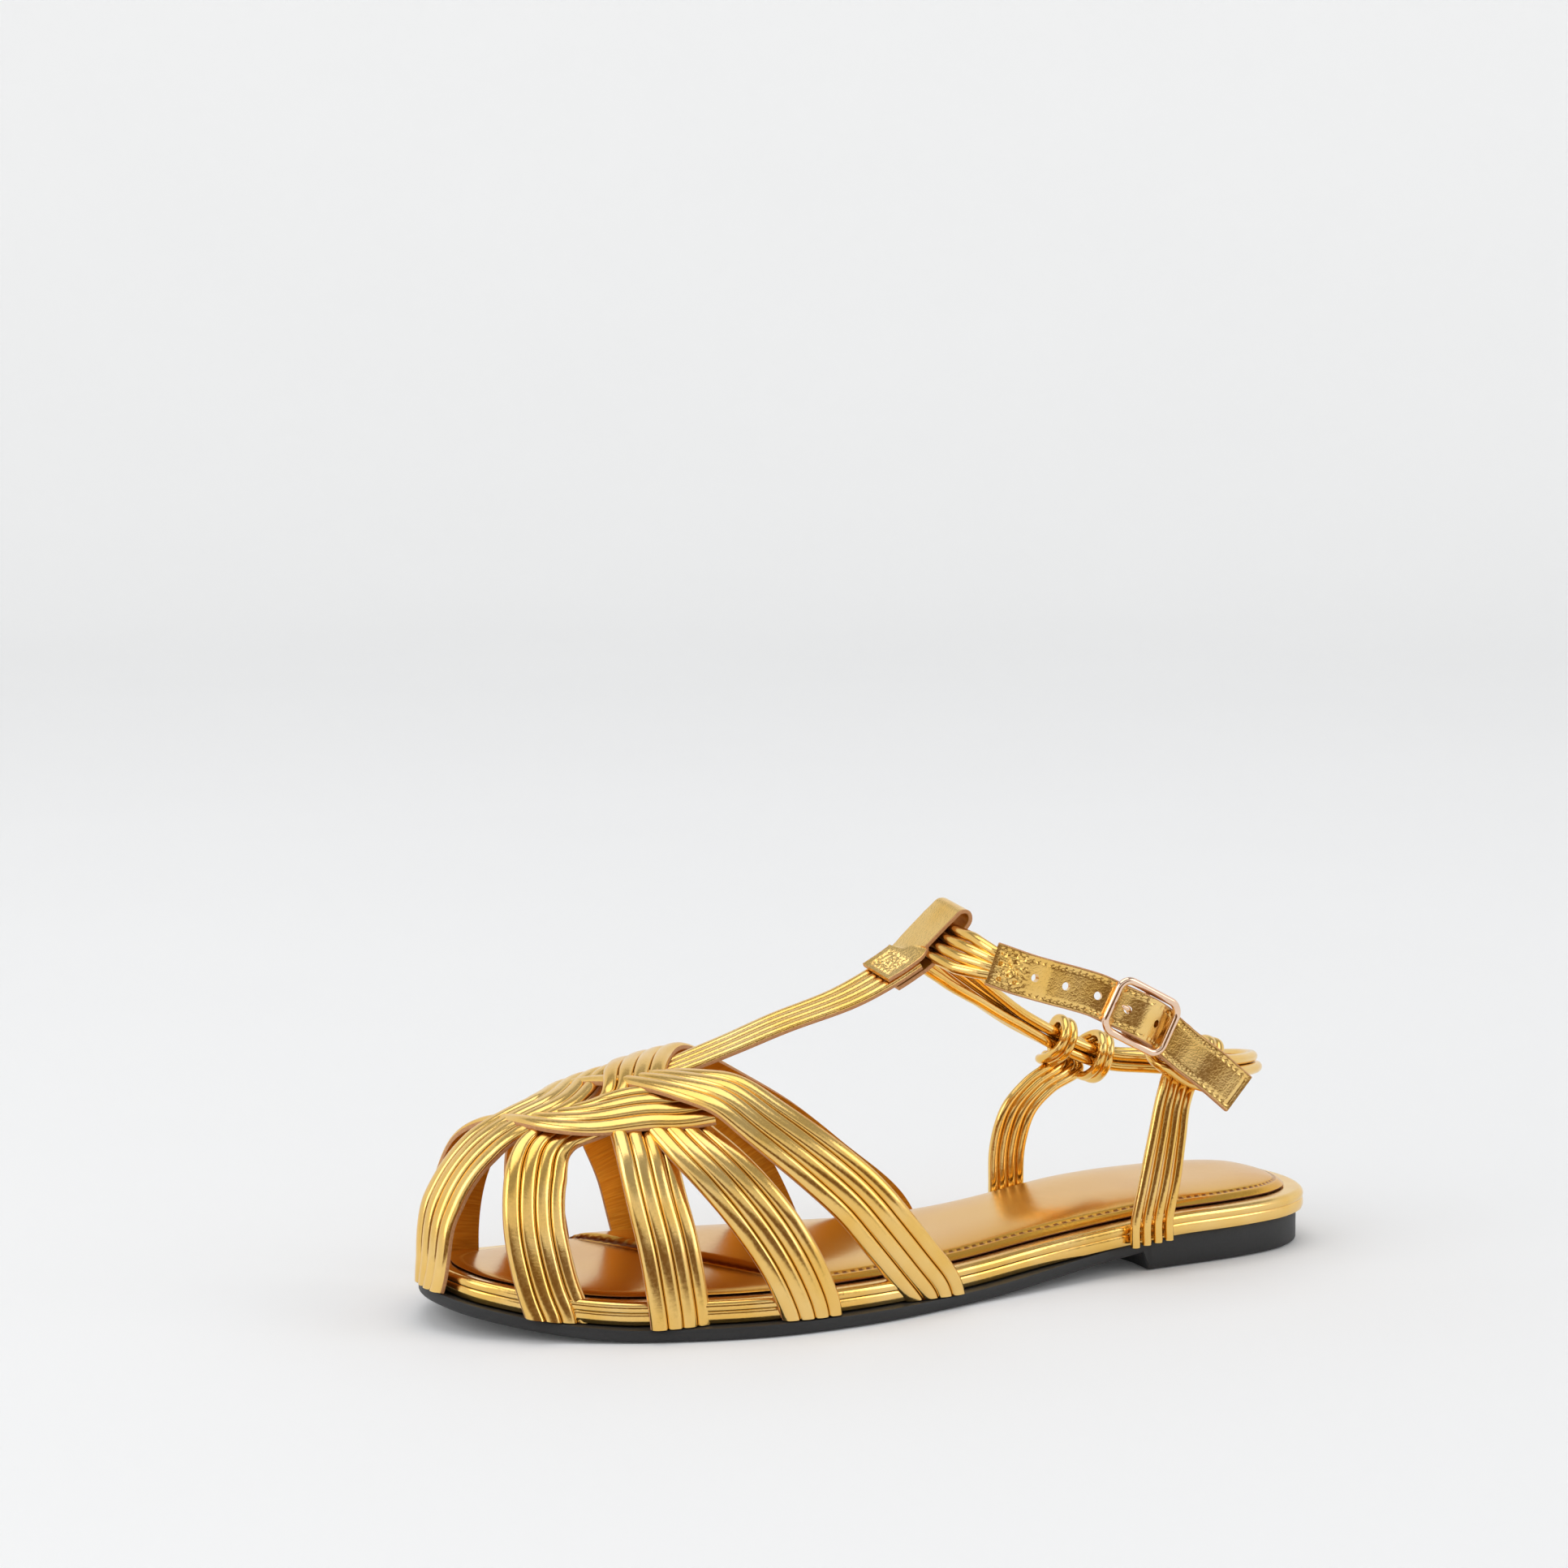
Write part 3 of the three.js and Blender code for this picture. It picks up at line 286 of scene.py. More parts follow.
outline, _ = spline(np.vstack([outer_rows, inner_rows[1:-1][::-1]]), 60, closed=True)
toe = 60 * (len(OUTLINE) - 1)
sides = {True: outline[:toe + 1], False: np.vstack([outline[:1], outline[toe:][::-1]])}


def edge_y(along, outer):
    """Height of the outline over the long axis, at a distance from the heel."""
    return np.interp(along, sides[outer][:, 0], sides[outer][:, 1])


def spring(along):
    return 6.2 * np.clip((along - 0.84 * SOLE_LENGTH) / (0.16 * SOLE_LENGTH), 0, 1) ** 1.7


def outsole_top(along):
    """Heel height at the back, sole thickness in front, eased between them, and the toe spring."""
    ease = smoothstep(along, 0.75 * HEEL_LENGTH, 0.51 * SOLE_LENGTH)
    return HEEL_HEIGHT + (OUTSOLE - HEEL_HEIGHT) * ease + spring(along)


def ledge(along):
    return (WALL + GAP) * smoothstep(along, HEEL_LENGTH, 0.42 * SOLE_LENGTH)


RIDGE = np.array([
    [0.39, 1.4], [0.47, 1.3], [0.54, 1.235], [0.614, 1.15], [0.67, 1.09], [0.724, 1.035], [0.748, 1.0],
    [0.78, 0.965], [0.819, 0.915], [0.843, 0.885], [0.874, 0.845], [0.906, 0.795], [0.937, 0.725],
    [0.965, 0.61], [0.985, 0.44], [1, 0.17]])


def last_point(along, angle):
    """Middle + half width * cos^(2/2.4) sideways and from the sole up to the ridge by sin^(2/2.2)."""
    x = along * SOLE_LENGTH
    outer, inner = edge_y(x, True), edge_y(x, False)
    half = np.maximum((outer - inner) / 2 - WALL / 2, 0)
    c, s = np.cos(np.radians(angle)), np.sin(np.radians(angle))
    bottom = outsole_top(x)
    ridge = np.maximum(np.interp(along, RIDGE[:, 0], RIDGE[:, 1]) * BRAID_HEIGHT, bottom)
    y = (outer + inner) / 2 + half * np.sign(c) * np.abs(c) ** (2 / 2.4) - 0.067 * HALF_BALL * s
    return np.stack([x, y, bottom + (ridge - bottom) * np.abs(s) ** (2 / 2.2)], -1)


def out_of_last(place):
    """Away from a spine line inside the foot, level with the place on the low sides."""
    x = np.minimum(place[..., 0], 0.913 * SOLE_LENGTH)
    y = (edge_y(x, True) + edge_y(x, False)) / 4
    z = np.minimum(place[..., 2], 0.42 * BRAID_HEIGHT)
    return unit(place - np.stack([x, y, z], -1))


print("outline:", len(outline), "points, toe at", np.round(outline[toe], 1))

# %% [markdown]
# ## Finishes
# Shader maths is written as ordinary Python expressions. `Number` wraps a socket and turns + - and *
# into Math nodes. `Finish` makes a material, and its one method `node` adds any other node.


# %% A small language for shaders
class Number:
    def __init__(self, finish, socket):
        self.finish = finish
        self.socket = socket

    def maths(self, operation, a, b=0.0):
        return self.finish.node("ShaderNodeMath", {"operation": operation}, {0: a, 1: b})

    def __add__(self, other):
        return self.maths("ADD", self, other)

    def __sub__(self, other):
        return self.maths("SUBTRACT", self, other)

    def __rsub__(self, other):
        return self.maths("SUBTRACT", other, self)

    def __mul__(self, other):
        return self.maths("MULTIPLY", self, other)

    def sine(self):
        return self.maths("SINE", self)

    def size(self):
        return self.maths("ABSOLUTE", self)

    __radd__ = __add__
    __rmul__ = __mul__


class Finish:
    def __init__(self, name, **constants):
        self.material = bpy.data.materials.new(name)
        self.material.use_nodes = True
        self.tree = self.material.node_tree
        self.shader = self.tree.nodes["Principled BSDF"]
        for socket, value in constants.items():
            self.shader.inputs[socket.replace("_", " ")].default_value = value

    def put(self, socket, value):
        if isinstance(value, Number):
            self.tree.links.new(value.socket, socket)
        elif isinstance(value, bpy.types.NodeSocket):
            self.tree.links.new(value, socket)
        else:
            socket.default_value = value

    def node(self, kind, settings=None, sockets=None, output=0):
        made = self.tree.nodes.new(kind)
        for key, value in (settings or {}).items():
            if key == "stops":
                ramp = made.color_ramp
                while len(ramp.elements) < len(value):
                    ramp.elements.new(0.5)
                for element, (position, colour) in zip(ramp.elements, value):
                    element.position = position
                    element.color = colour
            else:
                setattr(made, key, value)
        for key, value in (sockets or {}).items():
            self.put(made.inputs[key], value)
        return Number(self, made.outputs[output])

    def feed(self, socket, value):
        self.put(self.shader.inputs[socket], value)

    def place(self, stretch=(1, 1, 1), turn=(0, 0, 0)):
        """Object coordinates, stretched and turned."""
        at = self.node("ShaderNodeTexCoord", output="Object")
        return self.node("ShaderNodeMapping", {"vector_type": "POINT"},
                         {"Vector": at, "Scale": stretch, "Rotation": turn})

    def uv(self, stretch=(1, 1, 1)):
        """The piece's own UV map in metres, stretched."""
        at = self.node("ShaderNodeUVMap", {"uv_map": "UVMap"})
        return self.node("ShaderNodeMapping", {"vector_type": "POINT"}, {"Vector": at, "Scale": stretch})

    def noise(self, where, scale, detail=3.0, rough=0.55):
        return self.node("ShaderNodeTexNoise", {"noise_dimensions": "3D"},
                         {"Vector": where, "Scale": scale, "Detail": detail, "Roughness": rough})

    def cracks(self, where, scale, feature="DISTANCE_TO_EDGE"):
        return self.node("ShaderNodeTexVoronoi", {"feature": feature}, {"Vector": where, "Scale": scale})

    def behind_seam(self, where):
        """How far behind the slanted seam of the footbed a place lies, in metres."""
        x = self.node("ShaderNodeSeparateXYZ", None, {"Vector": where})
        y = Number(self, x.socket.node.outputs[1])
        return (SEAM_AT - SETBACK) * 0.001 - SEAM_SLANT * y - x

    def between(self, value, low, high):
        """0 below low, 1 above high."""
        return self.node("ShaderNodeMapRange", {"clamp": True},
                         {"Value": value, "From Min": low, "From Max": high})

    def blend(self, factor, first, second):
        return self.node("ShaderNodeMix", {"data_type": "RGBA"},
                         {"Factor": factor, 6: first, 7: second}, output=2)

    def bump(self, height, distance, strength=1.0, below=None):
        sockets = {"Height": height, "Distance": distance, "Strength": strength}
        if below is not None:
            sockets["Normal"] = below
        return self.node("ShaderNodeBump", {"invert": False}, sockets)


def tone(red, green, blue):
    """A colour as seen on a screen, turned into the linear numbers that a shader mixes."""
    seen = np.array([red, green, blue], float)
    linear = np.where(seen <= 0.04045, seen / 12.92, ((seen + 0.055) / 1.055) ** 2.4)
    return (*[float(value) for value in linear], 1.0)


print("shader words ready; mid grey is", round(tone(0.5, 0.5, 0.5)[0], 3))

# %% [markdown]
# The foil is leather under a thin film of gold. The film is nearly a mirror, so what one sees is the
# room, broken up by grain and creases. Three finishes share one recipe: smooth foil for cords and
# rim, foil with fine creases for the bands, and crackled foil for the strap, tab and billet.

# %% Gold finishes
GOLD = tone(0.945, 0.76, 0.40)
GOLD_PALE = tone(0.975, 0.85, 0.59)


def foil(name, roughness, grain, crease, crackle=0.0, pale=0.5):
    """Metal whose colour drifts between two golds, whose gloss is broken by a fine noise, and whose
    bump adds grain, creases across the piece and, where asked, a net of cracks."""
    gold = Finish(name, Metallic=1.0, IOR=1.5)
    where = gold.place()
    drift = gold.noise(where, 60.0, 2.0)
    gold.feed("Base Color", gold.blend(gold.between(drift, 0.35, 0.65) * pale, GOLD, GOLD_PALE))
    fine = gold.noise(where, 1400.0, 4.0, 0.7)
    gold.feed("Roughness", roughness + 0.12 * gold.between(fine, 0.4, 0.75))
    skin = gold.bump(fine, 0.00005, grain)
    across = gold.uv((160.0, 25.0, 1.0))
    folds = gold.noise(across, 2.2, 3.0)
    skin = gold.bump(folds, 0.0006, crease, skin)
    if crackle:
        net = gold.cracks(where, 950.0)
        dents = gold.noise(where, 360.0, 3.0, 0.6)
        skin = gold.bump(0.4 * gold.between(net, 0.0, 0.15) + 1.2 * dents, 0.0002, crackle, skin)
    gold.feed("Normal", skin)
    return gold.material


smooth_foil = foil("smooth_foil", 0.13, 0.2, 0.1)
band_foil = foil("band_foil", 0.15, 0.25, 0.05)
crackled_foil = foil("crackled_foil", 0.19, 0.3, 0.15, crackle=0.17, pale=0.6)
strap_foil = foil("strap_foil", 0.15, 0.3, 0.2, crackle=0.2, pale=0.6)

# The groove finish is painted shade: a dark brown for the valleys where neighbouring cords meet, mottled by a
# noise.
groove = Finish("groove", Metallic=0.6, Roughness=0.55)
valley_shade_mottle = groove.noise(groove.place(), 700.0, 2.0)
groove.feed("Base Color", groove.blend(valley_shade_mottle, tone(0.28, 0.15, 0.03), tone(0.45, 0.27, 0.07)))
groove = groove.material

lining = Finish("lining", Metallic=0.7, Roughness=0.38)
wrinkles = lining.noise(lining.uv((900.0, 60.0, 1.0)), 1.6, 3.0)
lining.feed("Base Color", lining.blend(lining.between(wrinkles, 0.3, 0.7), tone(0.78, 0.50, 0.10),
                                       tone(0.88, 0.63, 0.20)))
lining.feed("Normal", lining.bump(wrinkles, 0.0003, 0.5))
lining = lining.material

raw_edge = Finish("raw_edge", Roughness=0.75, Metallic=0.0)
fibres = raw_edge.noise(raw_edge.place(), 1800.0, 3.0)
raw_edge.feed("Base Color", raw_edge.blend(fibres, tone(0.66, 0.42, 0.24), tone(0.86, 0.66, 0.46)))
raw_edge.feed("Normal", raw_edge.bump(fibres, 0.0001, 0.6))
raw_edge = raw_edge.material
print("gold finishes:", smooth_foil.name, band_foil.name, crackled_foil.name, lining.name, raw_edge.name)

# %% Footbed, rubber and plating
footbed = Finish("footbed_leather", Metallic=0.95, Coat_Weight=0.1, Coat_Roughness=0.1)
place = footbed.place()
seam = 1.0 - footbed.between(footbed.behind_seam(place).size(), 0.0002, 0.0007)
cloud = footbed.noise(place, 28.0, 2.0)
pores = footbed.noise(place, 900.0, 3.0)
shades = footbed.blend(footbed.between(cloud, 0.3, 0.7), tone(0.88, 0.64, 0.21), tone(0.92, 0.71, 0.29))
footbed.feed("Base Color", footbed.blend(seam, shades, tone(0.50, 0.27, 0.08)))
footbed.feed("Roughness", 0.16 + 0.1 * pores)
footbed.feed("Normal", footbed.bump(pores, 0.00006, 0.4, footbed.bump(cloud, 0.001, 0.12)))
footbed = footbed.material

stitch_row = Finish("stitch_row", Metallic=0.8, Roughness=0.25)
behind_seam = stitch_row.behind_seam(stitch_row.place())
beat = (stitch_row.node("ShaderNodeSeparateXYZ", None, {"Vector": stitch_row.uv()}) * 2400.0).sine()
sewn = stitch_row.between(beat, -0.5, 0.1) * stitch_row.between(behind_seam, 0.001, 0.003)
stitch_row.feed("Base Color", stitch_row.blend(sewn, tone(0.92, 0.70, 0.29), tone(0.62, 0.38, 0.13)))
stitch_row.feed("Normal", stitch_row.bump(sewn, 0.0002, 0.6))
stitch_row = stitch_row.material

thread_line = Finish("seam_line", Roughness=0.6, Base_Color=tone(0.42, 0.18, 0.06))
thread = thread_line.noise(thread_line.place(), 2000.0, 2.0)
thread_line.feed("Base Color", thread_line.blend(thread, tone(0.32, 0.12, 0.04), tone(0.58, 0.30, 0.12)))
thread_line = thread_line.material

rubber = Finish("black_rubber", Roughness=0.5, Specular_IOR_Level=0.4)
speckle = rubber.noise(rubber.place(), 1600.0, 4.0, 0.7)
rubber.feed("Base Color", rubber.blend(speckle, tone(0.12, 0.12, 0.125), tone(0.2, 0.2, 0.2)))
rubber.feed("Roughness", 0.42 + 0.2 * speckle)
rubber.feed("Normal", rubber.bump(speckle, 0.00006, 0.6))
rubber = rubber.material

rose = Finish("rose_gold_plating", Metallic=1.0, Coat_Weight=0.4, Coat_Roughness=0.05)
scuffs = rose.noise(rose.place((1.0, 1.0, 6.0)), 500.0, 4.0)
rose.feed("Base Color", rose.blend(scuffs, tone(0.92, 0.76, 0.64), tone(0.97, 0.86, 0.76)))
rose.feed("Roughness", 0.08 + 0.12 * rose.between(scuffs, 0.45, 0.8))
rose = rose.material
print("other finishes:", footbed.name, thread_line.name, rubber.name, rose.name)

# %% [markdown]
# ## The sole
# Outsole, board and footbed are stacks of rings with the outline of the sole. Each ring is the outline
# moved inwards by an inset and lifted to a height. The flat of the top is closed by rings that shrink
# towards the middle line of the sole, which lets one height formula crown the whole footbed.

# %% Rings of the sole
ring_far = lengths(np.vstack([outline, outline[:1]]))
RING = 480
ring_at = np.arange(RING) / RING * ring_far[-1]
rim = mixed(ring_at, ring_far, np.vstack([outline, outline[:1]]))
rim_way = unit(np.roll(rim, -1, 0) - np.roll(rim, 1, 0))
rim_in = np.stack([rim_way[:, 1], -rim_way[:, 0], 0 * ring_at], 1)
if np.dot(rim_in[RING // 4], [0, -rim[RING // 4, 1], 0]) < 0:
    rim_in = -rim_in
spine_x = np.clip(rim[:, 0], 30, SOLE_LENGTH - 36)
spine = np.stack([spine_x, (edge_y(spine_x, True) + edge_y(spine_x, False)) / 2, 0 * spine_x], 1)


def sole_ring(inset, height, share=0.0):
    """The outline moved in by the inset, then the share of the way to the middle line, at its height."""
    moved = rim + rim_in * np.broadcast_to(inset(rim[:, 0]), RING)[:, None]
    moved = moved * (1 - share) + spine * share
    away = np.linalg.norm((moved - rim)[:, :2], axis=1)
    return np.stack([moved[:, 0], moved[:, 1], height(moved[:, 0], moved[:, 1], away)], 1)


def sole_piece(name, node, levels, materials, kinds=None):
    """The stack of (inset, height, share) levels from the underside's middle round to the top's."""
    rings = np.stack([sole_ring(*level) for level in levels])
    down = np.concatenate([[0], np.cumsum(np.linalg.norm(np.diff(rings, axis=0), axis=2).mean(1))])
    part = tube_grid(np.transpose(rings, (1, 0, 2)), ring_at, np.append(down, down[-1]), closed=True)
    points, quads, uv, kind = part
    keep = (np.arange(len(quads)) % len(levels)) < len(levels) - 1
    quads, uv, kind = quads[keep], uv[keep], kind[keep]
    if kinds is not None:
        kind = np.tile(np.asarray(kinds), RING)
    lids = []
    n = len(levels)
    for level in (0, n - 1):
        loop = np.arange(RING) * n + level
        half = RING // 2
        a, b = loop[:half], loop[RING - 1:half - 1:-1]
        lid = np.stack([a[:-1], a[1:], b[1:], b[:-1]], 1)
        lids.append(lid if level == 0 else lid[:, ::-1])
    quads = np.vstack([quads, *lids])
    flat = np.zeros((len(quads) - len(uv), 4, 2))
    kind = np.append(kind, np.zeros(len(flat), int) if kinds is None else np.full(len(flat), kinds[-1]))
    return finished(name, node, [(points, quads, np.vstack([uv, flat]), kind)], materials)


# %% [markdown]
# The outsole is moulded rubber: a low heel block with a sloped breast, a thin waist, and a softened
# lower edge all round. A hairline step near the top shows where the wrapped board sits in it.


# %% Outsole
def sole_inset(along):
    return 2 * (1 - smoothstep(along, HEEL_LENGTH, 0.42 * SOLE_LENGTH))


def underside(x, y=None, away=None):
    waist = outsole_top(x) - OUTSOLE
    breast = smoothstep(x, HEEL_LENGTH - 0.2, HEEL_LENGTH + 1.6)
    return waist * breast


def lifted(rise):
    return lambda x, y, away: underside(x) + rise * np.minimum(1, (outsole_top(x) - underside(x)) / 3)


top_of_outsole = lambda x, y, away: outsole_top(x)
outsole_levels = [
    (lambda x: sole_inset(x) + 8.0, lifted(0.0), 0.85),
    (lambda x: sole_inset(x) + 8.0, lifted(0.0), 0.4),
    (lambda x: sole_inset(x) + 8.0, lifted(0.0), 0.0),
    (lambda x: sole_inset(x) + 1.3, lifted(0.0), 0.0),
    (lambda x: sole_inset(x) + 0.6, lifted(0.12), 0.0),
    (lambda x: sole_inset(x) + 0.2, lifted(0.45), 0.0),
    (lambda x: sole_inset(x) + 0.0, lifted(0.9), 0.0),
    (lambda x: sole_inset(x) + 0.0, lambda x, y, away: outsole_top(x) - 0.45, 0.0),
    (lambda x: sole_inset(x) + 0.18, lambda x, y, away: outsole_top(x) - 0.08, 0.0),
    (lambda x: sole_inset(x) + 0.6, top_of_outsole, 0.0),
    (lambda x: sole_inset(x) + 8.0, top_of_outsole, 0.0),
    (lambda x: sole_inset(x) + 8.0, top_of_outsole, 0.85),
]
sole_piece("sole_rubber", "outsole", outsole_levels, [rubber])

# %% [markdown]
# The board is wrapped in gold foil. Its rim is rolled: a rounded bead on top, a shallow crease below
# it, and a nearly upright side that goes down to the rubber.


# %% Wrapped board
def board_level(depth, inset):
    """A level of the rim, given as the depth below its top and the inset from its outside."""
    return (lambda x: ledge(x) + inset, lambda x, y, away: outsole_top(x) + MIDSOLE - depth, 0.0)


bead = np.radians([0, 15, 30, 45, 60, 75, 90, 105, 120])
board_levels = [
    (lambda x: ledge(x) + 9.0, lambda x, y, away: outsole_top(x) + GAP, 0.85),
    (lambda x: ledge(x) + 9.0, lambda x, y, away: outsole_top(x) + GAP, 0.0),
    (lambda x: ledge(x) + 1.0, lambda x, y, away: outsole_top(x) + GAP, 0.0),
    (lambda x: ledge(x) + 0.35, lambda x, y, away: outsole_top(x) + GAP + 0.25, 0.0),
    (lambda x: ledge(x) + 0.1, lambda x, y, away: outsole_top(x) + GAP + 0.9, 0.0),
    board_level(4.3, 0.0), board_level(3.4, 0.06), board_level(2.9, 0.16), board_level(2.75, 0.3),
    board_level(2.6, 0.16),
    *[board_level(1.75 - 1.75 * float(np.sin(a - 0.52)), 1.75 - 1.75 * float(np.cos(a - 0.52)))
      for a in bead[1:]],
    (lambda x: ledge(x) + 3.4, lambda x, y, away: outsole_top(x) + MIDSOLE - 0.02, 0.0),
    (lambda x: ledge(x) + 9.0, lambda x, y, away: outsole_top(x) + MIDSOLE, 0.0),
    (lambda x: ledge(x) + 9.0, lambda x, y, away: outsole_top(x) + MIDSOLE, 0.85),
]
sole_piece("board", "midsole", board_levels, [smooth_foil])

# %% [markdown]
# The footbed is a thin pad under smooth leather. It swells from a tight edge, a row of stitches is
# pressed in near the edge, and in front of a slanted seam it goes down to a flat sock. A height
# formula does all of this, so the piece is one continuous surface.


# %% Footbed
def seam_distance(x, y):
    """How far behind the slanted seam a place lies."""
    return SEAM_AT - 18 * (y / (0.9 * HALF_BALL)) - x


def footbed_height(x, y, away):
    """Base + thickness (pad or sock) * a round edge - the pressed row of stitches - the seam."""
    pad = smoothstep(seam_distance(x, y), -0.9, 1.4)
    thick = 1.3 + 1.9 * pad
    inside = np.maximum(away - ledge(x) - 5.4, 0)
    swell = (1 - np.exp(-(inside / 1.9))) * 0.72 + 0.28 * (1 - np.exp(-((inside / 9) ** 2)))
    rounded = 0.08 + 0.92 * swell
    row = 0.26 * pad * np.exp(-(((inside - 2.6) / 0.5) ** 2))
    line = 0.45 * np.exp(-((seam_distance(x, y) / 0.5) ** 2))
    return outsole_top(x) + MIDSOLE + GAP + thick * rounded - row - line


insets = [5.4, 5.45, 5.65, 5.95, 6.4, 7.0, 7.5, 7.7, 7.9, 8.1, 8.3, 8.5, 8.8, 9.2, 9.8, 10.5, 11.5, 12.6]
base_of_footbed = lambda x, y, away: outsole_top(x) + MIDSOLE + GAP
footbed_levels = [
    (lambda x: ledge(x) + 9.0, base_of_footbed, 0.85),
    (lambda x: ledge(x) + 9.0, base_of_footbed, 0.0),
    (lambda x: ledge(x) + 5.4, base_of_footbed, 0.0),
    *[((lambda x, d=d: ledge(x) + d), footbed_height, 0.0) for d in insets],
    *[((lambda x: ledge(x) + 12.6), footbed_height, share) for share in np.linspace(0.06, 0.94, 20)],
]
footbed_kinds = np.zeros(len(footbed_levels) - 1, int)
footbed_kinds[2] = 1
footbed_kinds[9:14] = 2
pad = sole_piece("footbed", "insole", footbed_levels,
                 [footbed, thread_line, stitch_row], footbed_kinds)

# %% [markdown]
# ## The woven cage
# Every band is four round cords laid side by side on a thin lining. One section does it: four arches
# on top, raw cut edges, and a flat lining below, bent to the curve of the foot. Each path goes over and
# under its neighbours by a share of the wall.

# %% Paths of the bands
OVER, UNDER = 0.46, -0.46
BANDS = {
    "toe_from_outer": [
        [1, 0, 0.2], [0.996, 60, 0.35], [0.985, 82, 0.55], [0.966, 86, 0.15],
        [0.94, 86, 0.2], [0.917, 85, OVER],
        [0.892, 85, OVER], [0.868, 87, 0.3], [0.843, 92, 0.2], [0.815, 101, OVER], [0.787, 109, 0.2],
        [0.76, 113, UNDER], [0.735, 114, UNDER]],
    "toe_from_inner": [
        [0.93, 180, 0], [0.93, 165, 0], [0.925, 146, 0], [0.915, 128, 0], [0.905, 112, UNDER],
        [0.893, 96, UNDER], [0.878, 80, 0.1], [0.845, 70, OVER], [0.819, 68, OVER], [0.793, 67, 0.1],
        [0.767, 65, UNDER], [0.735, 63, UNDER]],
    "second_from_outer": [
        [0.906, 0, 0], [0.914, 6, 0], [0.92, 17, 0], [0.922, 28, 0], [0.918, 41, 0], [0.908, 54, 0],
        [0.895, 64, -0.1], [0.87, 69, UNDER], [0.84, 70, UNDER], [0.808, 74, 0], [0.778, 89, OVER],
        [0.75, 101, OVER], [0.718, 114, OVER], [0.68, 127, 0.1], [0.63, 141, 0], [0.57, 154, 0],
        [0.51, 166, 0], [0.45, 176, 0], [0.435, 180, 0]],
    "second_from_inner": [
        [0.815, 180, 0], [0.825, 165, 0], [0.832, 148, 0], [0.83, 132, 0], [0.823, 118, UNDER],
        [0.808, 106, UNDER], [0.787, 94, UNDER], [0.766, 81, 0], [0.744, 69, OVER], [0.72, 60, OVER],
        [0.697, 49.5, 0.1], [0.671, 40, 0], [0.642, 31, 0], [0.611, 22.5, 0], [0.58, 13.5, 0],
        [0.547, 5.5, 0], [0.52, 0, 0]],
    "third_from_outer": [
        [0.801, 0, 0], [0.805, 10, 0], [0.808, 20, 0], [0.812, 33, 0], [0.811, 48, -0.1],
        [0.806, 60, -0.6], [0.8, 74, -0.85]],
    "third_from_inner": [
        [0.705, 180, 0], [0.716, 170, 0], [0.73, 158, 0], [0.75, 145, 0], [0.768, 132, -0.1],
        [0.782, 119, -0.6], [0.79, 107, -0.85]],
    "fourth_from_outer": [
        [0.669, 0, 0], [0.681, 6.5, 0], [0.699, 15, 0], [0.724, 26, 0], [0.748, 38, -0.1],
        [0.766, 50, -0.6], [0.777, 66, -1.0]],
    "fourth_from_inner": [
        [0.563, 180, 0], [0.58, 172, 0], [0.605, 162, 0], [0.64, 150, 0], [0.68, 138, -0.1],
        [0.715, 127, -0.6], [0.745, 112, -1.0]],
}
BAND_WIDTH, BAND, FOOT = 16.0, 2.25, 4.0


def band_path(rows):
    """Through the rows on the last, each lifted outwards, and straight down past a foot."""
    rows = np.asarray(rows, float)
    places = last_point(rows[:, 0], rows[:, 1])
    places = places + out_of_last(places) * (rows[:, 2:] * WALL)
    ends = [places]
    ends.insert(0, places[:1] - [0, 0, FOOT])
    if rows[-1, 1] in (0, 180):
        ends.append(places[-1:] - [0, 0, FOOT])
    return np.vstack(ends)


# %% [markdown]
# The arches of a band are parts of superellipses, so that neighbouring cords meet in a sharp valley.
# Each cord is given its own slow rise and fall, because hand-laid cords are never level.


# %% Ribbed section
ARCH = 12


def ribbed(width, thickness, bend, along, seed, cords=4, waver=0.05, squeeze=None):
    """(across, outward) for a ring: arches (1 - |t|^2.5)^(1/2.5) over each cord, an edge, a lining.
    squeeze narrows the band along its length, as where it bunches under another."""
    pitch = width / cords
    t = -np.cos(np.linspace(0, np.pi, ARCH + 1))
    arch = (1 - np.abs(t * 0.995) ** 2.5) ** (1 / 2.5)
    middles = width / 2 - pitch * (np.arange(cords) + 0.5)
    u = (middles[:, None] - t[None, :] * pitch / 2)
    valley, crown = -0.12 * thickness, 0.5 * thickness
    v = valley + (crown - valley) * np.tile(arch, (cords, 1))
    phase = seed + np.arange(cords) * 2.4
    sway = np.sin(along[:, None] / 9.0 + phase) + 0.6 * np.sin(along[:, None] / 4.1 + 2.3 * phase)
    lift = waver * sway[:, :, None] * arch[None, None, :]
    top_u = np.broadcast_to(u[:, :-1].reshape(1, -1), (len(along), cords * ARCH))
    top_v = (v[None] + lift)[:, :, :-1].reshape(len(along), -1)
    low = -0.5 * thickness
    half = width / 2
    right_u = np.array([-half, -half - 0.02, -half + 0.12])
    right_v = np.array([valley, low + 0.18 * thickness, low])
    under = np.linspace(-half + 0.5, half - 0.5, 9)
    left_u, left_v = -right_u[::-1][:2], right_v[::-1][:2]
    rest_u = np.concatenate([right_u, under, left_u])
    rest_v = np.concatenate([right_v, np.full(9, low), left_v])
    full_u = np.hstack([top_u, np.broadcast_to(rest_u, (len(along), len(rest_u)))])
    full_v = np.hstack([top_v, np.broadcast_to(rest_v, (len(along), len(rest_v)))])
    if squeeze is not None:
        full_u = full_u * squeeze[:, None]
    full_v = full_v - full_u**2 / (2 * bend)
    # Where neighbouring cords meet, the strips take material 3, the groove finish: painted shade in the
    # valleys.
    tops = np.zeros((cords, ARCH), int)
    tops[1:, 0] = tops[:-1, -1] = 3
    kinds = np.concatenate([tops.ravel(), [1, 1], np.full(10, 2), [1, 1]])
    return np.stack([full_u, full_v], -1), kinds


